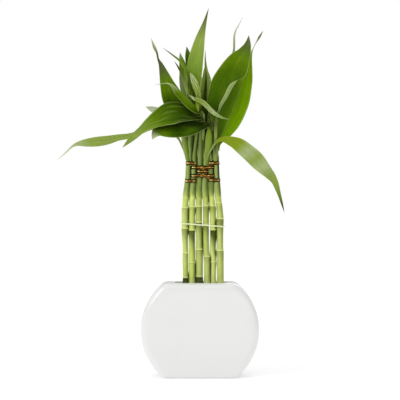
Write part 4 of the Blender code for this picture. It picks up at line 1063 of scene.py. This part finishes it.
grow_stalk(
    "front_3", 2, FRONT, nodes=(117.6, 149.4, 181.8, 200.6), shades=(0.35, 0.2, 0.5, 0.28), stub=117.6,
    shoot=((-4.4, -5.4, 272), (-4.2, -7.6, 292), (-4.2, -8.6, 312)),
    tall_centre=blade("mid*2 grass pale dusk", (
        (-4.3, -8.2, 296, 2.4), (-4.6, -9.6, 312, 3.6), (-5.6, -10.8, 327.4, 5.2), (-7.2, -11.4, 339.7, 7),
        (-7.2, -11.6, 350, 8.2), (-6.4, -11.8, 361, 9.1), (-5.7, -11.8, 369, 9.2),
        (-4.5, -11.8, 377.4, 8.7), (-2.1, -11.6, 389.3, 7.4), (1.2, -11.2, 403.2, 5.2),
        (5.4, -10.6, 418.6, 2.4), (10.2, -10, 436, 0.45)), face=((0.1, -1, 0.1), (-0.2, -1, 0.1)), fold=9,
        dry=0),
    young_centre=blade("mid grass pale silver", (
        (-4.2, -8.2, 300, 2), (-4, -9.4, 313, 2.4), (-2.4, -13.2, 324.5, 3.2), (-2.2, -17, 334, 3.6),
        (-5.2, -20.2, 342, 4), (-8.2, -21.4, 350, 3.8), (-11.6, -21.8, 359, 1.8)),
        face=((0.4, -0.9, 0), (0.1, -1, 0.1)), fold=20, crinkle=0.75),
    crossing_right=blade("dark grass pale silver pale", (
        (-4.2, -8.2, 303, 2), (-3.6, -12.6, 313, 1.3), (-3.6, -17.4, 320.4, 0.9), (-6.2, -20.8, 326.2, 1),
        (-4.2, -22.4, 327, 3.1), (3.4, -23.6, 322.2, 3.7), (13.6, -24.5, 312.6, 3.8), (23, -25, 306.2, 2.2),
        (34, -25.4, 303.2, 0.5)), face=((-0.3, -0.8, 0.5), (0.5, -0.6, 0.7)), fold=20, crinkle=0.75),
    strips=(
        blade("sheath", (
            (-5.9, -5.8, 247, 2.9), (-6.2, -7, 256.4, 3.2), (-5.9, -8.3, 265.9, 3),
            (-4.9, -9.4, 275.3, 2.6), (-3.6, -10.4, 284.8, 2.4), (-2.6, -11, 294.2, 2.1)), curl=60,
            right="night"),
        blade("silver", (
            (-5.4, -21.2, 326.6, 2), (-8.4, -21.8, 329.2, 1.5), (-11, -22, 331, 0.9),
            (-13.6, -22, 331.6, 0.4)), curl=10),
        blade("bright olive", (
            (-3.6, -19.5, 325, 2), (-3.2, -21.6, 319, 1.9), (-2, -21.8, 312.6, 0.5)), curl=10),
    ))
grow_stalk(
    "front_4", 3, FRONT, nodes=(141, 179, 201.2), shades=(0.25, 0.5, 0.4),
    shoot=((2.7, -5.4, 272), (2.9, -8.2, 292), (3.5, -9.6, 314)),
    # Painted shadow: the night tones at its base, where the leaves above shade it.
    broad_left=blade("night*2 deep dark mid grass pale grass", (
        (2.6, -9, 301, 1.6), (3.2, -13.4, 304.2, 2.1), (-2.5, -17, 306.8, 4.3), (-11.8, -20, 309.5, 9),
        (-23.5, -22, 311, 14), (-35.2, -24, 309.2, 16), (-46.8, -27, 304.5, 12.3), (-58.4, -30, 297.8, 7.8),
        (-67.6, -33, 290.9, 4.7), (-76.8, -36, 282.7, 3.8), (-83.6, -38, 276.1, 2.3),
        (-90, -40, 269.6, 0.5)), face=((0, -0.9, 0.45), (0.1, -0.9, 0.4)), fold=8, pleat=0.31, rib=0,
        base=0, dry=0.1),
    folded_left=blade("deep dark mid*2 silver*2", (
        (3.3, -9.4, 307, 2), (0.6, -14.5, 310.6, 2.6), (-4.8, -18.6, 313, 4.2), (-11.7, -21.6, 318.2, 5.4),
        (-18.8, -23, 324.4, 6), (-25.8, -24, 331.8, 5.6), (-31.1, -24.6, 339, 4.2),
        (-35.4, -25, 343.8, 2.4), (-41.6, -25, 345.2, 1.5), (-53.5, -25, 343.6, 0.5)),
        face=((-0.4, -0.8, 0.5), (0, -0.4, 0.9)), fold=30, dry=0.6),
    strips=(
        blade("grey_sheath", (
            (0.7, -5.8, 247, 3.5), (0.7, -7.4, 258.8, 3.7), (0.7, -8.9, 270.6, 3.4),
            (0.9, -10.1, 282.4, 3.3), (1.2, -11, 293, 3.2), (1.7, -11.1, 303.7, 2.3)), curl=60,
            right="deep"),
    ))
grow_stalk(
    "front_5", 4, FRONT, nodes=(134.5, 173, 201.2), shades=(0.1, 0.98, 0.4),
    shoot=((10.7, -5.6, 272), (11.2, -7.2, 290), (10.8, -7, 307)),
    hanging_right=blade("grey_sheath*2 olive*3 silver pale silver pale*2 grass dusk", (
        (7.2, -6.2, 251, 1.2), (9.2, -9.2, 260, 1.3), (13.2, -12, 268.6, 1.4), (19.4, -14.6, 277.6, 2),
        (27, -16.8, 280.4, 4.2), (36, -19.3, 277.9, 6.6), (46, -21.4, 273.2, 9.2), (56.2, -24, 264.2, 10.6),
        (65.2, -27, 255.6, 10.8), (74.4, -30, 245, 10), (81.4, -32, 236.9, 8), (86.7, -34, 229.9, 5.2),
        (89.8, -35.6, 222, 4), (92.6, -37, 213, 3), (95.2, -38.2, 203.6, 1.9), (98, -39, 194.2, 0.5)),
        face=((-0.3, -0.9, 0.5), (0.45, -0.55, 0.7)), fold=8, dry=0),
    # Painted shadow: the night tones along most of it and the black right half, its upper half, where
    # broad_left shades it.
    dark_left=blade("night*4 deep*4 dark mid*2 silver", (
        (11.2, -7, 286, 2), (13.8, -12.2, 292.6, 2.4), (11, -16, 297, 3), (4.7, -18, 296.6, 4.6),
        (-2.4, -19, 295.5, 7.4), (-11.8, -20, 294.5, 10.6), (-23.5, -22, 293.4, 12.2),
        (-35.2, -24, 292.4, 11.8), (-46.8, -27, 290, 8.8), (-52.2, -29, 286.2, 5),
        (-55.8, -30, 279.6, 0.6)), face=((-0.3, -0.9, 0.3), (0.1, -0.95, 0.3)), fold=6, right="black",
        split=1.6, rib=0, dry=0.2),
    strips=(
        blade("sheath fresh_sheath", (
            (7.4, -6, 248.1, 2.8), (7.8, -7, 256.4, 3.1), (9, -8.3, 265.9, 3.9), (10.6, -9.4, 275.3, 5.2),
            (11, -10.3, 283.6, 4.9), (11.4, -10.9, 291.8, 3.2), (11.8, -11.1, 300.1, 1.3)), curl=40),
        blade("grey_sheath dusk pale dusk dark", (
            (16.2, -5.5, 256.5, 1.6), (17.3, -9, 265.9, 1.8), (18.2, -11.4, 276.5, 1.8),
            (18.6, -13, 289.5, 1.8), (19, -14.4, 300.4, 1.6), (20, -15.6, 308, 1.1),
            (21.4, -16.4, 315, 0.5)), fold=10, rib=0.5),
    ))
grow_stalk(
    "front_6", 5, FRONT, nodes=(148.4, 186, 204.7), shades=(0.3, 0.55, 0.15),
    shoot=((18.8, -4.6, 266), (18.9, -6.3, 284), (18.6, -7.2, 304)),
    # Painted light and shade: its right half fresh and brighter than its left, as its folded halves face the
    # light differently.
    bright_right=blade("deep*2 dark*3 mid grass ghost dusk", (
        (19.3, -4.8, 266, 2.4), (21.6, -8.6, 277, 4), (27.2, -9.4, 288, 9.4), (32.4, -8, 300, 13.8),
        (38.2, -5, 314, 15.6), (44.4, -4, 330, 15.2), (49.6, -3.2, 347, 12.8), (54.2, -2.5, 363.7, 8.8),
        (58.2, -2, 378, 4), (62.4, -1.6, 387.6, 0.8), (66.6, -1.2, 396, 0.5), (70.8, -0.8, 403.2, 1.3),
        (75.4, -0.5, 411, 0.45)), face=((0.25, -1, 0.1), (0.1, -1, 0.1)), fold=8, right="fresh", rib=0.15,
        base=0.1, dry=0.2),
    broad_right=blade("deep*2 dark*2 mid dusk", (
        (19.2, -6.9, 290, 2.4), (17.7, -10.5, 305.8, 5.4), (20.1, -13, 321.2, 12.8),
        (25.5, -14.5, 333.2, 16.8), (30.5, -15, 344.6, 18.4), (36.4, -15, 355, 17.6),
        (42.3, -15, 366, 15.4), (47.2, -14.8, 374.9, 12.6), (52, -14.5, 382.5, 8.5),
        (56.2, -14, 392.3, 4.2), (57.8, -13.5, 403.6, 0.5)), face=((-0.2, -1, 0.1), (-0.25, -0.95, 0.1)),
        fold=5, roll=(1, 150, 0.08, 0.66), rib=0, dry=0.1, under=0.6),
    strips=(
        blade("pale grey_sheath", (
            (18.5, -5.7, 249.3, 2.4), (18.5, -6.1, 254.6, 2.6), (18.3, -7.2, 258, 3.2),
            (18.2, -8.1, 264.7, 3.4), (19, -9.2, 273, 3.6), (20.6, -10, 281.2, 3.4),
            (22.7, -10.9, 290.6, 2.3)), curl=60),
    ))
grow_stalk(
    "back_1", 0, BACK, nodes=(128, 163, 192),
    shoot=((-15.6, 5.8, 272), (-18.6, 9.4, 292), (-20.6, 11.4, 310)),
    long_left=blade("pale*8 silver ghost", (
        (-15, 5, 258, 1.2), (-20, 7, 270.6, 1.2), (-25.6, 7.6, 282.4, 1.4), (-33.6, 7.4, 290.6, 2.4),
        (-44, 6.4, 295.2, 2.3), (-57.5, 5, 294.6, 2.4), (-70, 3.6, 290, 3), (-83.7, 2, 285.4, 3.8),
        (-97.9, 0, 283, 4.7), (-109.7, -2, 280, 5.8), (-123.8, -4, 277.9, 6.5), (-135.5, -6, 276.6, 5.1),
        (-144.8, -8, 275.4, 2.7), (-151.8, -9.5, 272.1, 1.3), (-159.8, -12, 264.2, 0.8),
        (-168.4, -14.5, 256.4, 0.45)), face=((-0.6, -0.8, 0.3), (0.1, -0.9, 0.35)), fold=10, pleat=0.2,
        dry=0.6),
    pale_left=blade("ghost", (
        (-19, 9.6, 293, 2.2), (-23, 12.6, 302, 4), (-31, 14.8, 308, 6.4), (-41, 15, 311.6, 7),
        (-50.4, 14.6, 315, 5.6), (-58.6, 14, 318.6, 3.6), (-65.6, 13.6, 321.4, 0.5)),
        face=((-0.2, -0.8, 0.6), (0.1, -0.95, 0.4)), fold=10, dry=0.9),
    rear_left=blade("dark mid", (
        (-17.8, 8.3, 284, 2.4), (-22, 15, 296, 5), (-27, 26, 309, 8.6), (-31, 40, 317, 9),
        (-34, 56, 318, 6.8), (-36.5, 72, 312, 3.4), (-38, 84, 303, 0.5)),
        face=((-0.3, 0.4, 0.9), (-0.1, 0.7, 0.6)), fold=8))
grow_stalk(
    "back_2", 1, BACK, nodes=(120, 152, 184, 202),
    shoot=((-8.4, 6.6, 272), (-9.8, 10.8, 292), (-11, 13.4, 312)),
    dark_upright=blade("lime*4 silver grass mid*2", (
        (-10.2, 11.6, 297, 2.2), (-12.6, 10.4, 313, 3.6), (-16, 7.4, 328.7, 4.6), (-18, 5.4, 340, 5.4),
        (-19.2, 5, 351, 5.6), (-19.4, 5, 362.3, 5.2), (-20.8, 5, 372, 4.2), (-22.8, 5, 380.3, 2.2),
        (-24, 5, 386, 0.6)), face=((0.3, -1, 0), (-0.4, -0.9, 0)), fold=14),
    rear_high=blade("dark mid", (
        (-10, 11.2, 294, 2.4), (-13, 20, 308, 5), (-16, 32, 322, 9), (-19, 46, 332, 9.6), (-21, 62, 335, 7),
        (-23, 78, 330, 3.6), (-24, 90, 322, 0.5)), face=((-0.2, 0.5, 0.9), (0, 0.8, 0.5)), fold=8),
    rear_low=blade("deep mid", (
        (-8.7, 7.4, 275, 2.4), (-10, 15, 286, 4.6), (-12, 27, 293, 7.6), (-13.5, 42, 292, 8.4),
        (-14.5, 56, 284, 6.8), (-15.5, 68, 272, 3.6), (-16, 76, 260, 0.5)),
        face=((-0.1, 0.4, 0.9), (0, 0.85, 0.5)), fold=8),
    strips=(
        blade("deep dark", (
            (-7.7, 3, 268.7, 2.6), (-7.9, 3.5, 283.1, 4.1), (-8.6, 4, 299.9, 5.3), (-10.3, 4.5, 316.7, 5.3),
            (-12.7, 4.5, 331.1, 3.6), (-14.9, 4.5, 343.1, 1)), curl=10),
    ))
grow_stalk(
    "back_3", 2, BACK, nodes=(139, 170, 198),
    shoot=((-1.4, 6.8, 272), (-2.2, 11.4, 292), (-3, 14.4, 314)),
    tip_upright=blade("deep dark", (
        (-2.8, 12.6, 300, 2.2), (-5, 12.6, 315, 3.6), (-7.2, 12, 329.2, 4.4), (-9.6, 11.2, 353.2, 5.2),
        (-12, 10.6, 371, 4.9), (-13.9, 10.3, 381, 4), (-15.1, 10.1, 388, 2.1), (-16, 10, 393.4, 0.45)),
        face=((0.2, -1, 0), (-0.3, -1, 0)), fold=12, dry=0.1),
    rear_tall=blade("mid fresh", (
        (-2.8, 13.4, 303, 2.4), (-3.2, 18.4, 320, 5), (-4.2, 26, 338, 7.8), (-5.2, 36, 355, 8.2),
        (-6, 48, 370, 6.4), (-6, 60, 381, 3.4), (-5, 70, 388, 0.5)), face=((0, 0.8, 0.6), (0, 0.9, 0.4)),
        fold=8),
    rear_middle=blade("dark mid", (
        (-1.9, 9.8, 284, 2.4), (-1.5, 19, 298, 4.8), (0, 33, 308, 8.4), (1.5, 50, 311, 9), (3, 67, 307, 7),
        (4, 84, 297, 3.8), (4.5, 96, 286, 0.5)), face=((0, 0.4, 0.9), (0, 0.85, 0.5)), fold=8))
grow_stalk(
    "back_4", 3, BACK, nodes=(125, 158, 190),
    shoot=((6, 6.8, 272), (6.2, 11.4, 292), (6.6, 14, 314)),
    # Painted light and shade: a dark left half and a lime right half, as its folded halves face the light
    # differently.
    inner_upright=blade("night*2 deep*2 dusk*2", (
        (6.4, 12.4, 300, 2.2), (7.2, 10.6, 316.8, 4.4), (7.8, 8.4, 332.4, 5.2), (8.4, 6.8, 346.8, 5.2),
        (8.2, 6.4, 356, 4.6), (7.4, 6.2, 363, 2.9), (6.7, 6, 370.5, 1.7), (6.3, 6, 379, 0.8),
        (6.4, 6, 388.4, 0.4)), face=((0.5, -0.9, 0), (0.4, -0.9, 0)), fold=14, right="lime", split=2.5,
        dry=0),
    rear_high=blade("dark mid", (
        (6.2, 12, 295, 2.4), (9, 21, 312, 5), (12.5, 33, 328, 9), (16, 47, 339, 9.6), (19, 62, 344, 7.2),
        (21.5, 77, 343, 3.6), (23, 88, 339, 0.5)), face=((0.2, 0.5, 0.9), (0, 0.8, 0.5)), fold=8),
    rear_low=blade("deep mid", (
        (6, 7.8, 276, 2.4), (7.5, 16, 288, 4.8), (9.5, 28, 295, 7.6), (11, 43, 294, 8.2),
        (12, 57, 286, 6.4), (12.5, 70, 274, 3.4), (12.8, 79, 262, 0.5)),
        face=((0.1, 0.4, 0.9), (0, 0.85, 0.5)), fold=8),
    strips=(
        blade("deep dark", (
            (7.2, 3, 266.3, 2.6), (7.9, 3.5, 280.7, 4.5), (7.9, 4, 296.3, 5.7), (6.7, 4.5, 313.1, 5.5),
            (4.6, 4.5, 328.7, 4.3), (2.9, 4.5, 341.9, 2.6), (1.9, 4.5, 352.6, 0.7)), curl=10),
        blade("deep dark", (
            (12, 2, 280, 2.2), (12.6, 2.4, 291, 3.8), (13, 3, 303, 4.4), (13.4, 3.4, 314, 3.4),
            (14, 4, 324, 1)), curl=10),
        blade("mid pale", (
            (-0.2, -2, 311.4, 1.4), (0.6, -2, 322.2, 1.9), (2.4, -2, 337.7, 2.3), (4.2, -2, 352, 2),
            (5.5, -2, 362.7, 1.3), (6.3, -2, 369.9, 0.6)), curl=10),
    ))
grow_stalk(
    "back_5", 4, BACK, nodes=(133, 166, 195),
    shoot=((14.6, 6.4, 272), (15.8, 10.6, 290), (16.6, 13, 308)),
    edge_on=blade("mid*2 dusk silver ghost", (
        (16.2, 11.8, 298, 2.2), (18.6, 11.4, 315, 3.6), (23.4, 10.2, 335, 4.2), (29.4, 8.8, 354, 4),
        (36, 7.4, 372, 2.8), (40.2, 6, 387.1, 2.1), (40.7, 5.6, 397, 1.9), (41, 5.2, 405.4, 1.5),
        (43, 5, 412.6, 1), (46.6, 4.8, 419.1, 0.8), (50.9, 4.5, 427.8, 0.45)),
        face=((1, -0.8, 0), (1, -0.8, 0.1)), fold=10),
    rear_right=blade("mid fresh", (
        (15.6, 10.2, 289, 2.4), (19.5, 18, 303, 5), (25, 29, 315, 8.8), (30, 43, 322, 9.2),
        (34.5, 58, 323, 7), (38, 73, 318, 3.6), (40, 84, 311, 0.5)),
        face=((0.3, 0.5, 0.9), (0.2, 0.8, 0.5)), fold=8))
grow_stalk(
    "back_6", 5, BACK, nodes=(122, 155, 187, 203),
    shoot=((20.4, 6, 270), (24.6, 9.6, 288), (28, 12, 306)),
    hidden_right=blade("dark mid", (
        (25.8, 10, 290, 2.4), (31, 15, 306, 5.6), (36.5, 22, 323, 9), (41, 30, 340, 9.6),
        (44, 38, 356, 7.4), (45.5, 46, 370, 3.8), (46, 52, 380, 0.5)),
        face=((0.3, 0.6, 0.7), (0.2, 0.8, 0.5)), fold=8))


# Painted shade: light hardly reaches the heart of the bundle, so the tint there is darkened as painted
# shade. For each point, rays show how much of what it faces is other growth.
RECESS_REACH = 40 * MM
RECESS_RAYS = 14
RECESS_LIFT = 0.7 * MM
RECESS_DARK = 0.3
RECESS_FREE = 0.25
RECESS_FROM = 226 * MM
RECESS_FULL = 30 * MM
RECESS_BLURS = 3


def hemisphere(count):
    """Directions round +Z, closer together near it."""
    k = np.arange(count) + 0.5
    slant, turn = np.arcsin(np.sqrt(k / count) * 0.97), k * math.pi * (3 - math.sqrt(5))
    return np.column_stack([np.sin(slant) * np.cos(turn), np.sin(slant) * np.sin(turn), np.cos(slant)])


def gathered(items, key, width, kind=float):
    """One property of all of a mesh's items, a row for each."""
    found = np.empty(len(items) * width, kind)
    items.foreach_get(key, found)
    return found.reshape(-1, width)


def paint_recess_shade(meshes):
    places = [gathered(mesh.vertices, "co", 3) for mesh in meshes]
    corners, start = [], 0
    for mesh in meshes:
        corners += [tuple(k + start for k in face.vertices) for face in mesh.polygons]
        start += len(mesh.vertices)
    tree = BVHTree.FromPolygons(np.vstack(places).tolist(), corners)
    for mesh, place in zip(meshes, places):
        out = gathered(mesh.vertex_normals, "vector", 3)
        across = np.cross(out, np.where(np.abs(out[:, 2:]) < 0.9, (0, 0, 1.0), (1.0, 0, 0)))
        across /= lengths(across) + 1e-12
        frames = np.stack([across, np.cross(out, across), out], axis=1)[:, None]
        ways = (hemisphere(RECESS_RAYS)[None, :, :, None] * frames).sum(axis=2)
        starts = (place + out * RECESS_LIFT).tolist()
        shut = np.array([sum(tree.ray_cast(spot, way, RECESS_REACH)[0] is not None for way in fan)
                         for spot, fan in zip(starts, ways.tolist())]) / RECESS_RAYS
        count = len(shut)
        first, second = gathered(mesh.edges, "vertices", 2, int).T
        beside = np.bincount(first, minlength=count) + np.bincount(second, minlength=count)
        for _ in range(RECESS_BLURS):
            near = np.bincount(first, shut[second], count) + np.bincount(second, shut[first], count)
            shut = 0.4 * shut + 0.6 * near / np.maximum(beside, 1)
        shut = np.clip((shut - RECESS_FREE) / (1 - RECESS_FREE), 0, 1)
        shut *= eased((place[:, 2] - RECESS_FROM) / RECESS_FULL)
        layer = mesh.attributes["tint"].data
        tint = gathered(layer, "color", 4)
        # Painted shade: the tint is darkened by how shut in each point is.
        tint[:, :3] *= (1 - (1 - RECESS_DARK) * shut)[:, None]
        layer.foreach_set("color", tint.ravel())


paint_recess_shade([piece.data for pair in growth for piece in pair])


# The twist ties: flat strips of gold foil over a thin wire, wrapped round the columns they hold in five
# levels. The wire shows as a bright ridge along the middle with a painted highlight, and the edges of the
# foil are painted a dark maroon reflection; painted glints lie along each strip and at its left end.
TIE_HEIGHT = 4.2 * MM
TIE_THICK = 0.5 * MM
TIE_RIDGE = 0.35 * MM
TIE_CLEAR = 0.2 * MM
TIE_STEP = 1.1 * MM
TIE_SHARP = 50
END_GLINT_REACH = 1.6 * MM
# Each tie: its name, first and last column, height, and twisted ends as (x, z, half length, slope).
TIES = (("tie_top_left", 0, 1, 252.7, ()), ("tie_top_right", 4, 5, 252.9, ((11.5, 251.0, 2.4, 0.7),)),
        ("tie_upper", 1, 4, 247.7, ((2.4, 246, 2.7, -0.45), (4.6, 246.4, 2.5, 0.5))),
        ("tie_middle", 2, 3, 242.9, ()),
        ("tie_lower", 1, 4, 237.7, ((2.2, 239, 2.5, 0.5), (4.8, 238.6, 2.6, -0.4))),
        ("tie_bottom_left", 0, 1, 231.6, ()),
        ("tie_bottom_right", 4, 5, 232.6, ((9.7, 235.2, 2.6, -0.8), (10.4, 234.2, 2.2, 0.6))))
FOIL_GOLD = linear(255, 205, 98)
FOIL_DARK_REFLECTION = linear(60, 26, 0)
FOIL_GLINT = linear(255, 244, 160)
# How gold each point of the strip's section is, the rest painted dark reflection and the gold at the ridge a
# painted highlight: the back and the edges, then up over the ridge and down.
FOIL_SHARES = np.array((0, 0, 0, 0, 0.03, 0.42, 1, 0.42, 0.03, 0, 0))
WIRE_RADIUS = 0.62 * MM
TWIST_RADIUS = 0.55 * MM
TWIST_RINGS = 37

gold_foil = Finish("gold_foil", {"IOR": 1.5})
foil_tint = gold_foil.painted("tint", "Color")
crinkle = gold_foil.noise(gold_foil.place(), 900.0, 3.0)
gold_foil.feed(gold_foil.shader, {
    "Base Color": gold_foil.scaled(foil_tint, 0.75 + crinkle * 0.5),
    "Metallic": 1.0 - crinkle * 0.08,
    "Roughness": 0.16 + crinkle * 0.2,
})
gold_foil.relief(crinkle, 0.2 * MM, 0.6)


def wrapped_route(corners, step):
    """Places at even steps round a closed outline, and the way outward at each."""
    route = []
    for start, end in zip(corners, np.roll(corners, -1, axis=0)):
        steps = max(1, round(np.linalg.norm(end - start) / step))
        route += [start + (end - start) * k / steps for k in range(steps)]
    route = np.array(route)
    along = np.roll(route, -1, axis=0) - np.roll(route, 1, axis=0)
    along /= lengths(along)
    return route, np.column_stack([along[:, 1], -along[:, 0], np.zeros(len(route))])


def closed_strip(skin, centres, outward, section, tints, grain):
    """A strip with one section of (out, up) points, swept round a closed loop of places."""
    out, up = (np.array(side)[None, :, None] for side in zip(*section))
    rings = centres[:, None] + outward[:, None] * out + np.array((0, 0, 1.0)) * up
    count, around = rings.shape[:2]
    index = np.arange(count * around).reshape(count, around)
    turned, onward = np.roll(index, -1, axis=1), np.roll(index, -1, axis=0)
    faces = np.stack([index, onward, np.roll(onward, -1, axis=1), turned], axis=-1).reshape(-1, 4)
    colours = np.broadcast_to(tints, rings.shape).reshape(-1, 3)
    skin.add(rings.reshape(-1, 3), faces.tolist(), colours, grain)


def twisted_end(skin, centre, half_length, tilt):
    """Two strands of the tie wound round each other, lying flat against its front."""
    turns = np.linspace(-1, 1, TWIST_RINGS)
    angles = np.linspace(0, 2 * math.pi, 10, endpoint=False)
    around = np.stack([np.zeros_like(angles), np.sin(angles), np.cos(angles)], axis=-1)[None]
    swell = (0.25 + 0.75 * np.sqrt(1 - turns ** 4)) * TWIST_RADIUS
    thick = WIRE_RADIUS * np.sqrt(1 - 0.9 * turns ** 6)
    # Painted light: each strand is gold on top and painted dark reflection underneath.
    tints = paint_mix(FOIL_DARK_REFLECTION, FOIL_GOLD, (0.5 + 0.5 * np.cos(angles)) * np.ones((TWIST_RINGS, 1)))
    for phase in (0, math.pi):
        wind = turns * math.pi * 2.1 + phase
        middle = np.column_stack([turns * half_length, -0.3 * MM + np.sin(wind) * swell,
                                  np.cos(wind) * swell + tilt * turns * half_length]) + centre
        points, faces = loft(middle[:, None] + thick[:, None, None] * around)
        skin.add(points, faces, with_ends(tints), (0, 0, phase))


def tie(name, first, last, level, ends, seed):
    height = level * MM
    _, row_pitch, radius = waist_at(height - TIE_HEIGHT / 2)
    left, right = (stalk_place(column, FRONT, height - TIE_HEIGHT / 2)[0] for column in (first, last))
    reach = radius + TIE_CLEAR + TIE_THICK / 2
    corners = rounded_loop((right - left) / 2 + reach, row_pitch / 2 + reach, reach, 12)
    route, outward = wrapped_route(corners, TIE_STEP)
    around = np.arange(len(route))
    ripple = 0.18 * MM * np.sin(around * 0.55 + seed) + 0.1 * MM * np.sin(around * 1.7 + 2 * seed)
    centres = np.column_stack([route[:, 0] + (left + right) / 2, route[:, 1], height + ripple])
    half, thin = TIE_HEIGHT / 2 - 0.2 * MM, TIE_THICK / 2
    upper = [(thin + TIE_RIDGE * 0.8, half * 0.16), (thin, half * 0.3), (thin * 0.8, half * 0.62),
             (thin * 0.6, half + 0.1 * MM)]
    lower = [(out, -up) for out, up in reversed(upper)]
    section = [(-thin, half), (-thin, -half), *lower, (thin + TIE_RIDGE, 0), *upper]
    # Painted sheen and glints along the strip and painted glints at its left end, over a painted dark
    # reflection.
    sheen = 0.62 + 0.5 * np.sin(around * 1.15 + seed) * np.sin(around * 0.37 + 2 * seed)
    end_glint = np.exp(-((centres[:, 0] - left + radius * 0.6) / END_GLINT_REACH) ** 2)
    tints = paint_mix(FOIL_DARK_REFLECTION, FOIL_GOLD, FOIL_SHARES * np.maximum(sheen, end_glint)[:, None])
    glint = np.maximum(end_glint, eased((sheen - 0.8) / 0.3))
    tints = paint_mix(tints, FOIL_GLINT, glint[:, None] * FOIL_SHARES ** 0.5)
    skin = Skin()
    closed_strip(skin, centres, outward, section, tints, (0, 0, seed))
    for x, z, half_length, slope in ends:
        twisted_end(skin, np.array((x * MM, -row_pitch / 2 - reach, z * MM)), half_length * MM, slope)
    dress(skin.make(f"{name}_foil", gold_foil, TIE_SHARP), "gold_foil", name)


for seed, (name, first, last, level, ends) in enumerate(TIES):
    tie(name, first, last, level, ends, seed)


# The rubber band: one pale loop stretched a little aslant round the whole bundle. It is held by its own
# pull, and bears on the outermost canes.
BAND_Z = 179.2 * MM
BAND_SLOPE = math.radians(4.3)
BAND_HEIGHT = 1.6 * MM
BAND_THICK = 1.0 * MM
BAND_GAP = 0.3 * MM
BAND_STEP = 1.4 * MM
BAND_WAVE = 0.12 * MM
BAND_AROUND = 14

pale_rubber = Finish("pale_rubber", {"IOR": 1.52, "Specular IOR Level": 0.3})
rubber_place = pale_rubber.place()
dusty = pale_rubber.noise(rubber_place, 260.0, 3.0)
pale_rubber.feed(pale_rubber.shader, {
    "Base Color": pale_rubber.blend(dusty, opaque(226, 232, 176), opaque(240, 244, 208)),
    "Roughness": 0.45 + dusty * 0.2,
})
pale_rubber.relief(pale_rubber.noise(rubber_place, 1500.0, 2.0), 0.06 * MM, 0.5)

_, band_rows, band_radius = waist_at(BAND_Z)
band_reach = band_radius + NODE_RISE + BAND_GAP + BAND_THICK / 2
band_left = cane_sides(0, FRONT, BAND_Z / MM)[0][0] * MM
band_right = cane_sides(COLUMNS - 1, FRONT, BAND_Z / MM)[1][0] * MM
band_corners = rounded_loop((band_right - band_left) / 2 + band_reach - band_radius,
                            band_rows / 2 + band_reach, band_reach, 16)
band_route, band_outward = wrapped_route(band_corners, BAND_STEP)
band_wave = BAND_WAVE * np.sin(np.arange(len(band_route)) * 0.5)
band_centres = np.column_stack([band_route[:, 0] + (band_left + band_right) / 2, band_route[:, 1],
                                BAND_Z - band_route[:, 0] * math.tan(BAND_SLOPE) + band_wave])
band_section = [(BAND_THICK / 2 * math.cos(turn) * (1 if abs(math.sin(turn)) < 0.9 else 0.9),
                 BAND_HEIGHT / 2 * math.sin(turn))
                for turn in np.linspace(0, 2 * math.pi, BAND_AROUND, endpoint=False)]
band_skin = Skin()
closed_strip(band_skin, band_centres, band_outward, band_section, np.ones((BAND_AROUND, 3)), (0, 0, 0))
dress(band_skin.make("rubber_band_round", pale_rubber), "pale_rubber", "rubber_band")
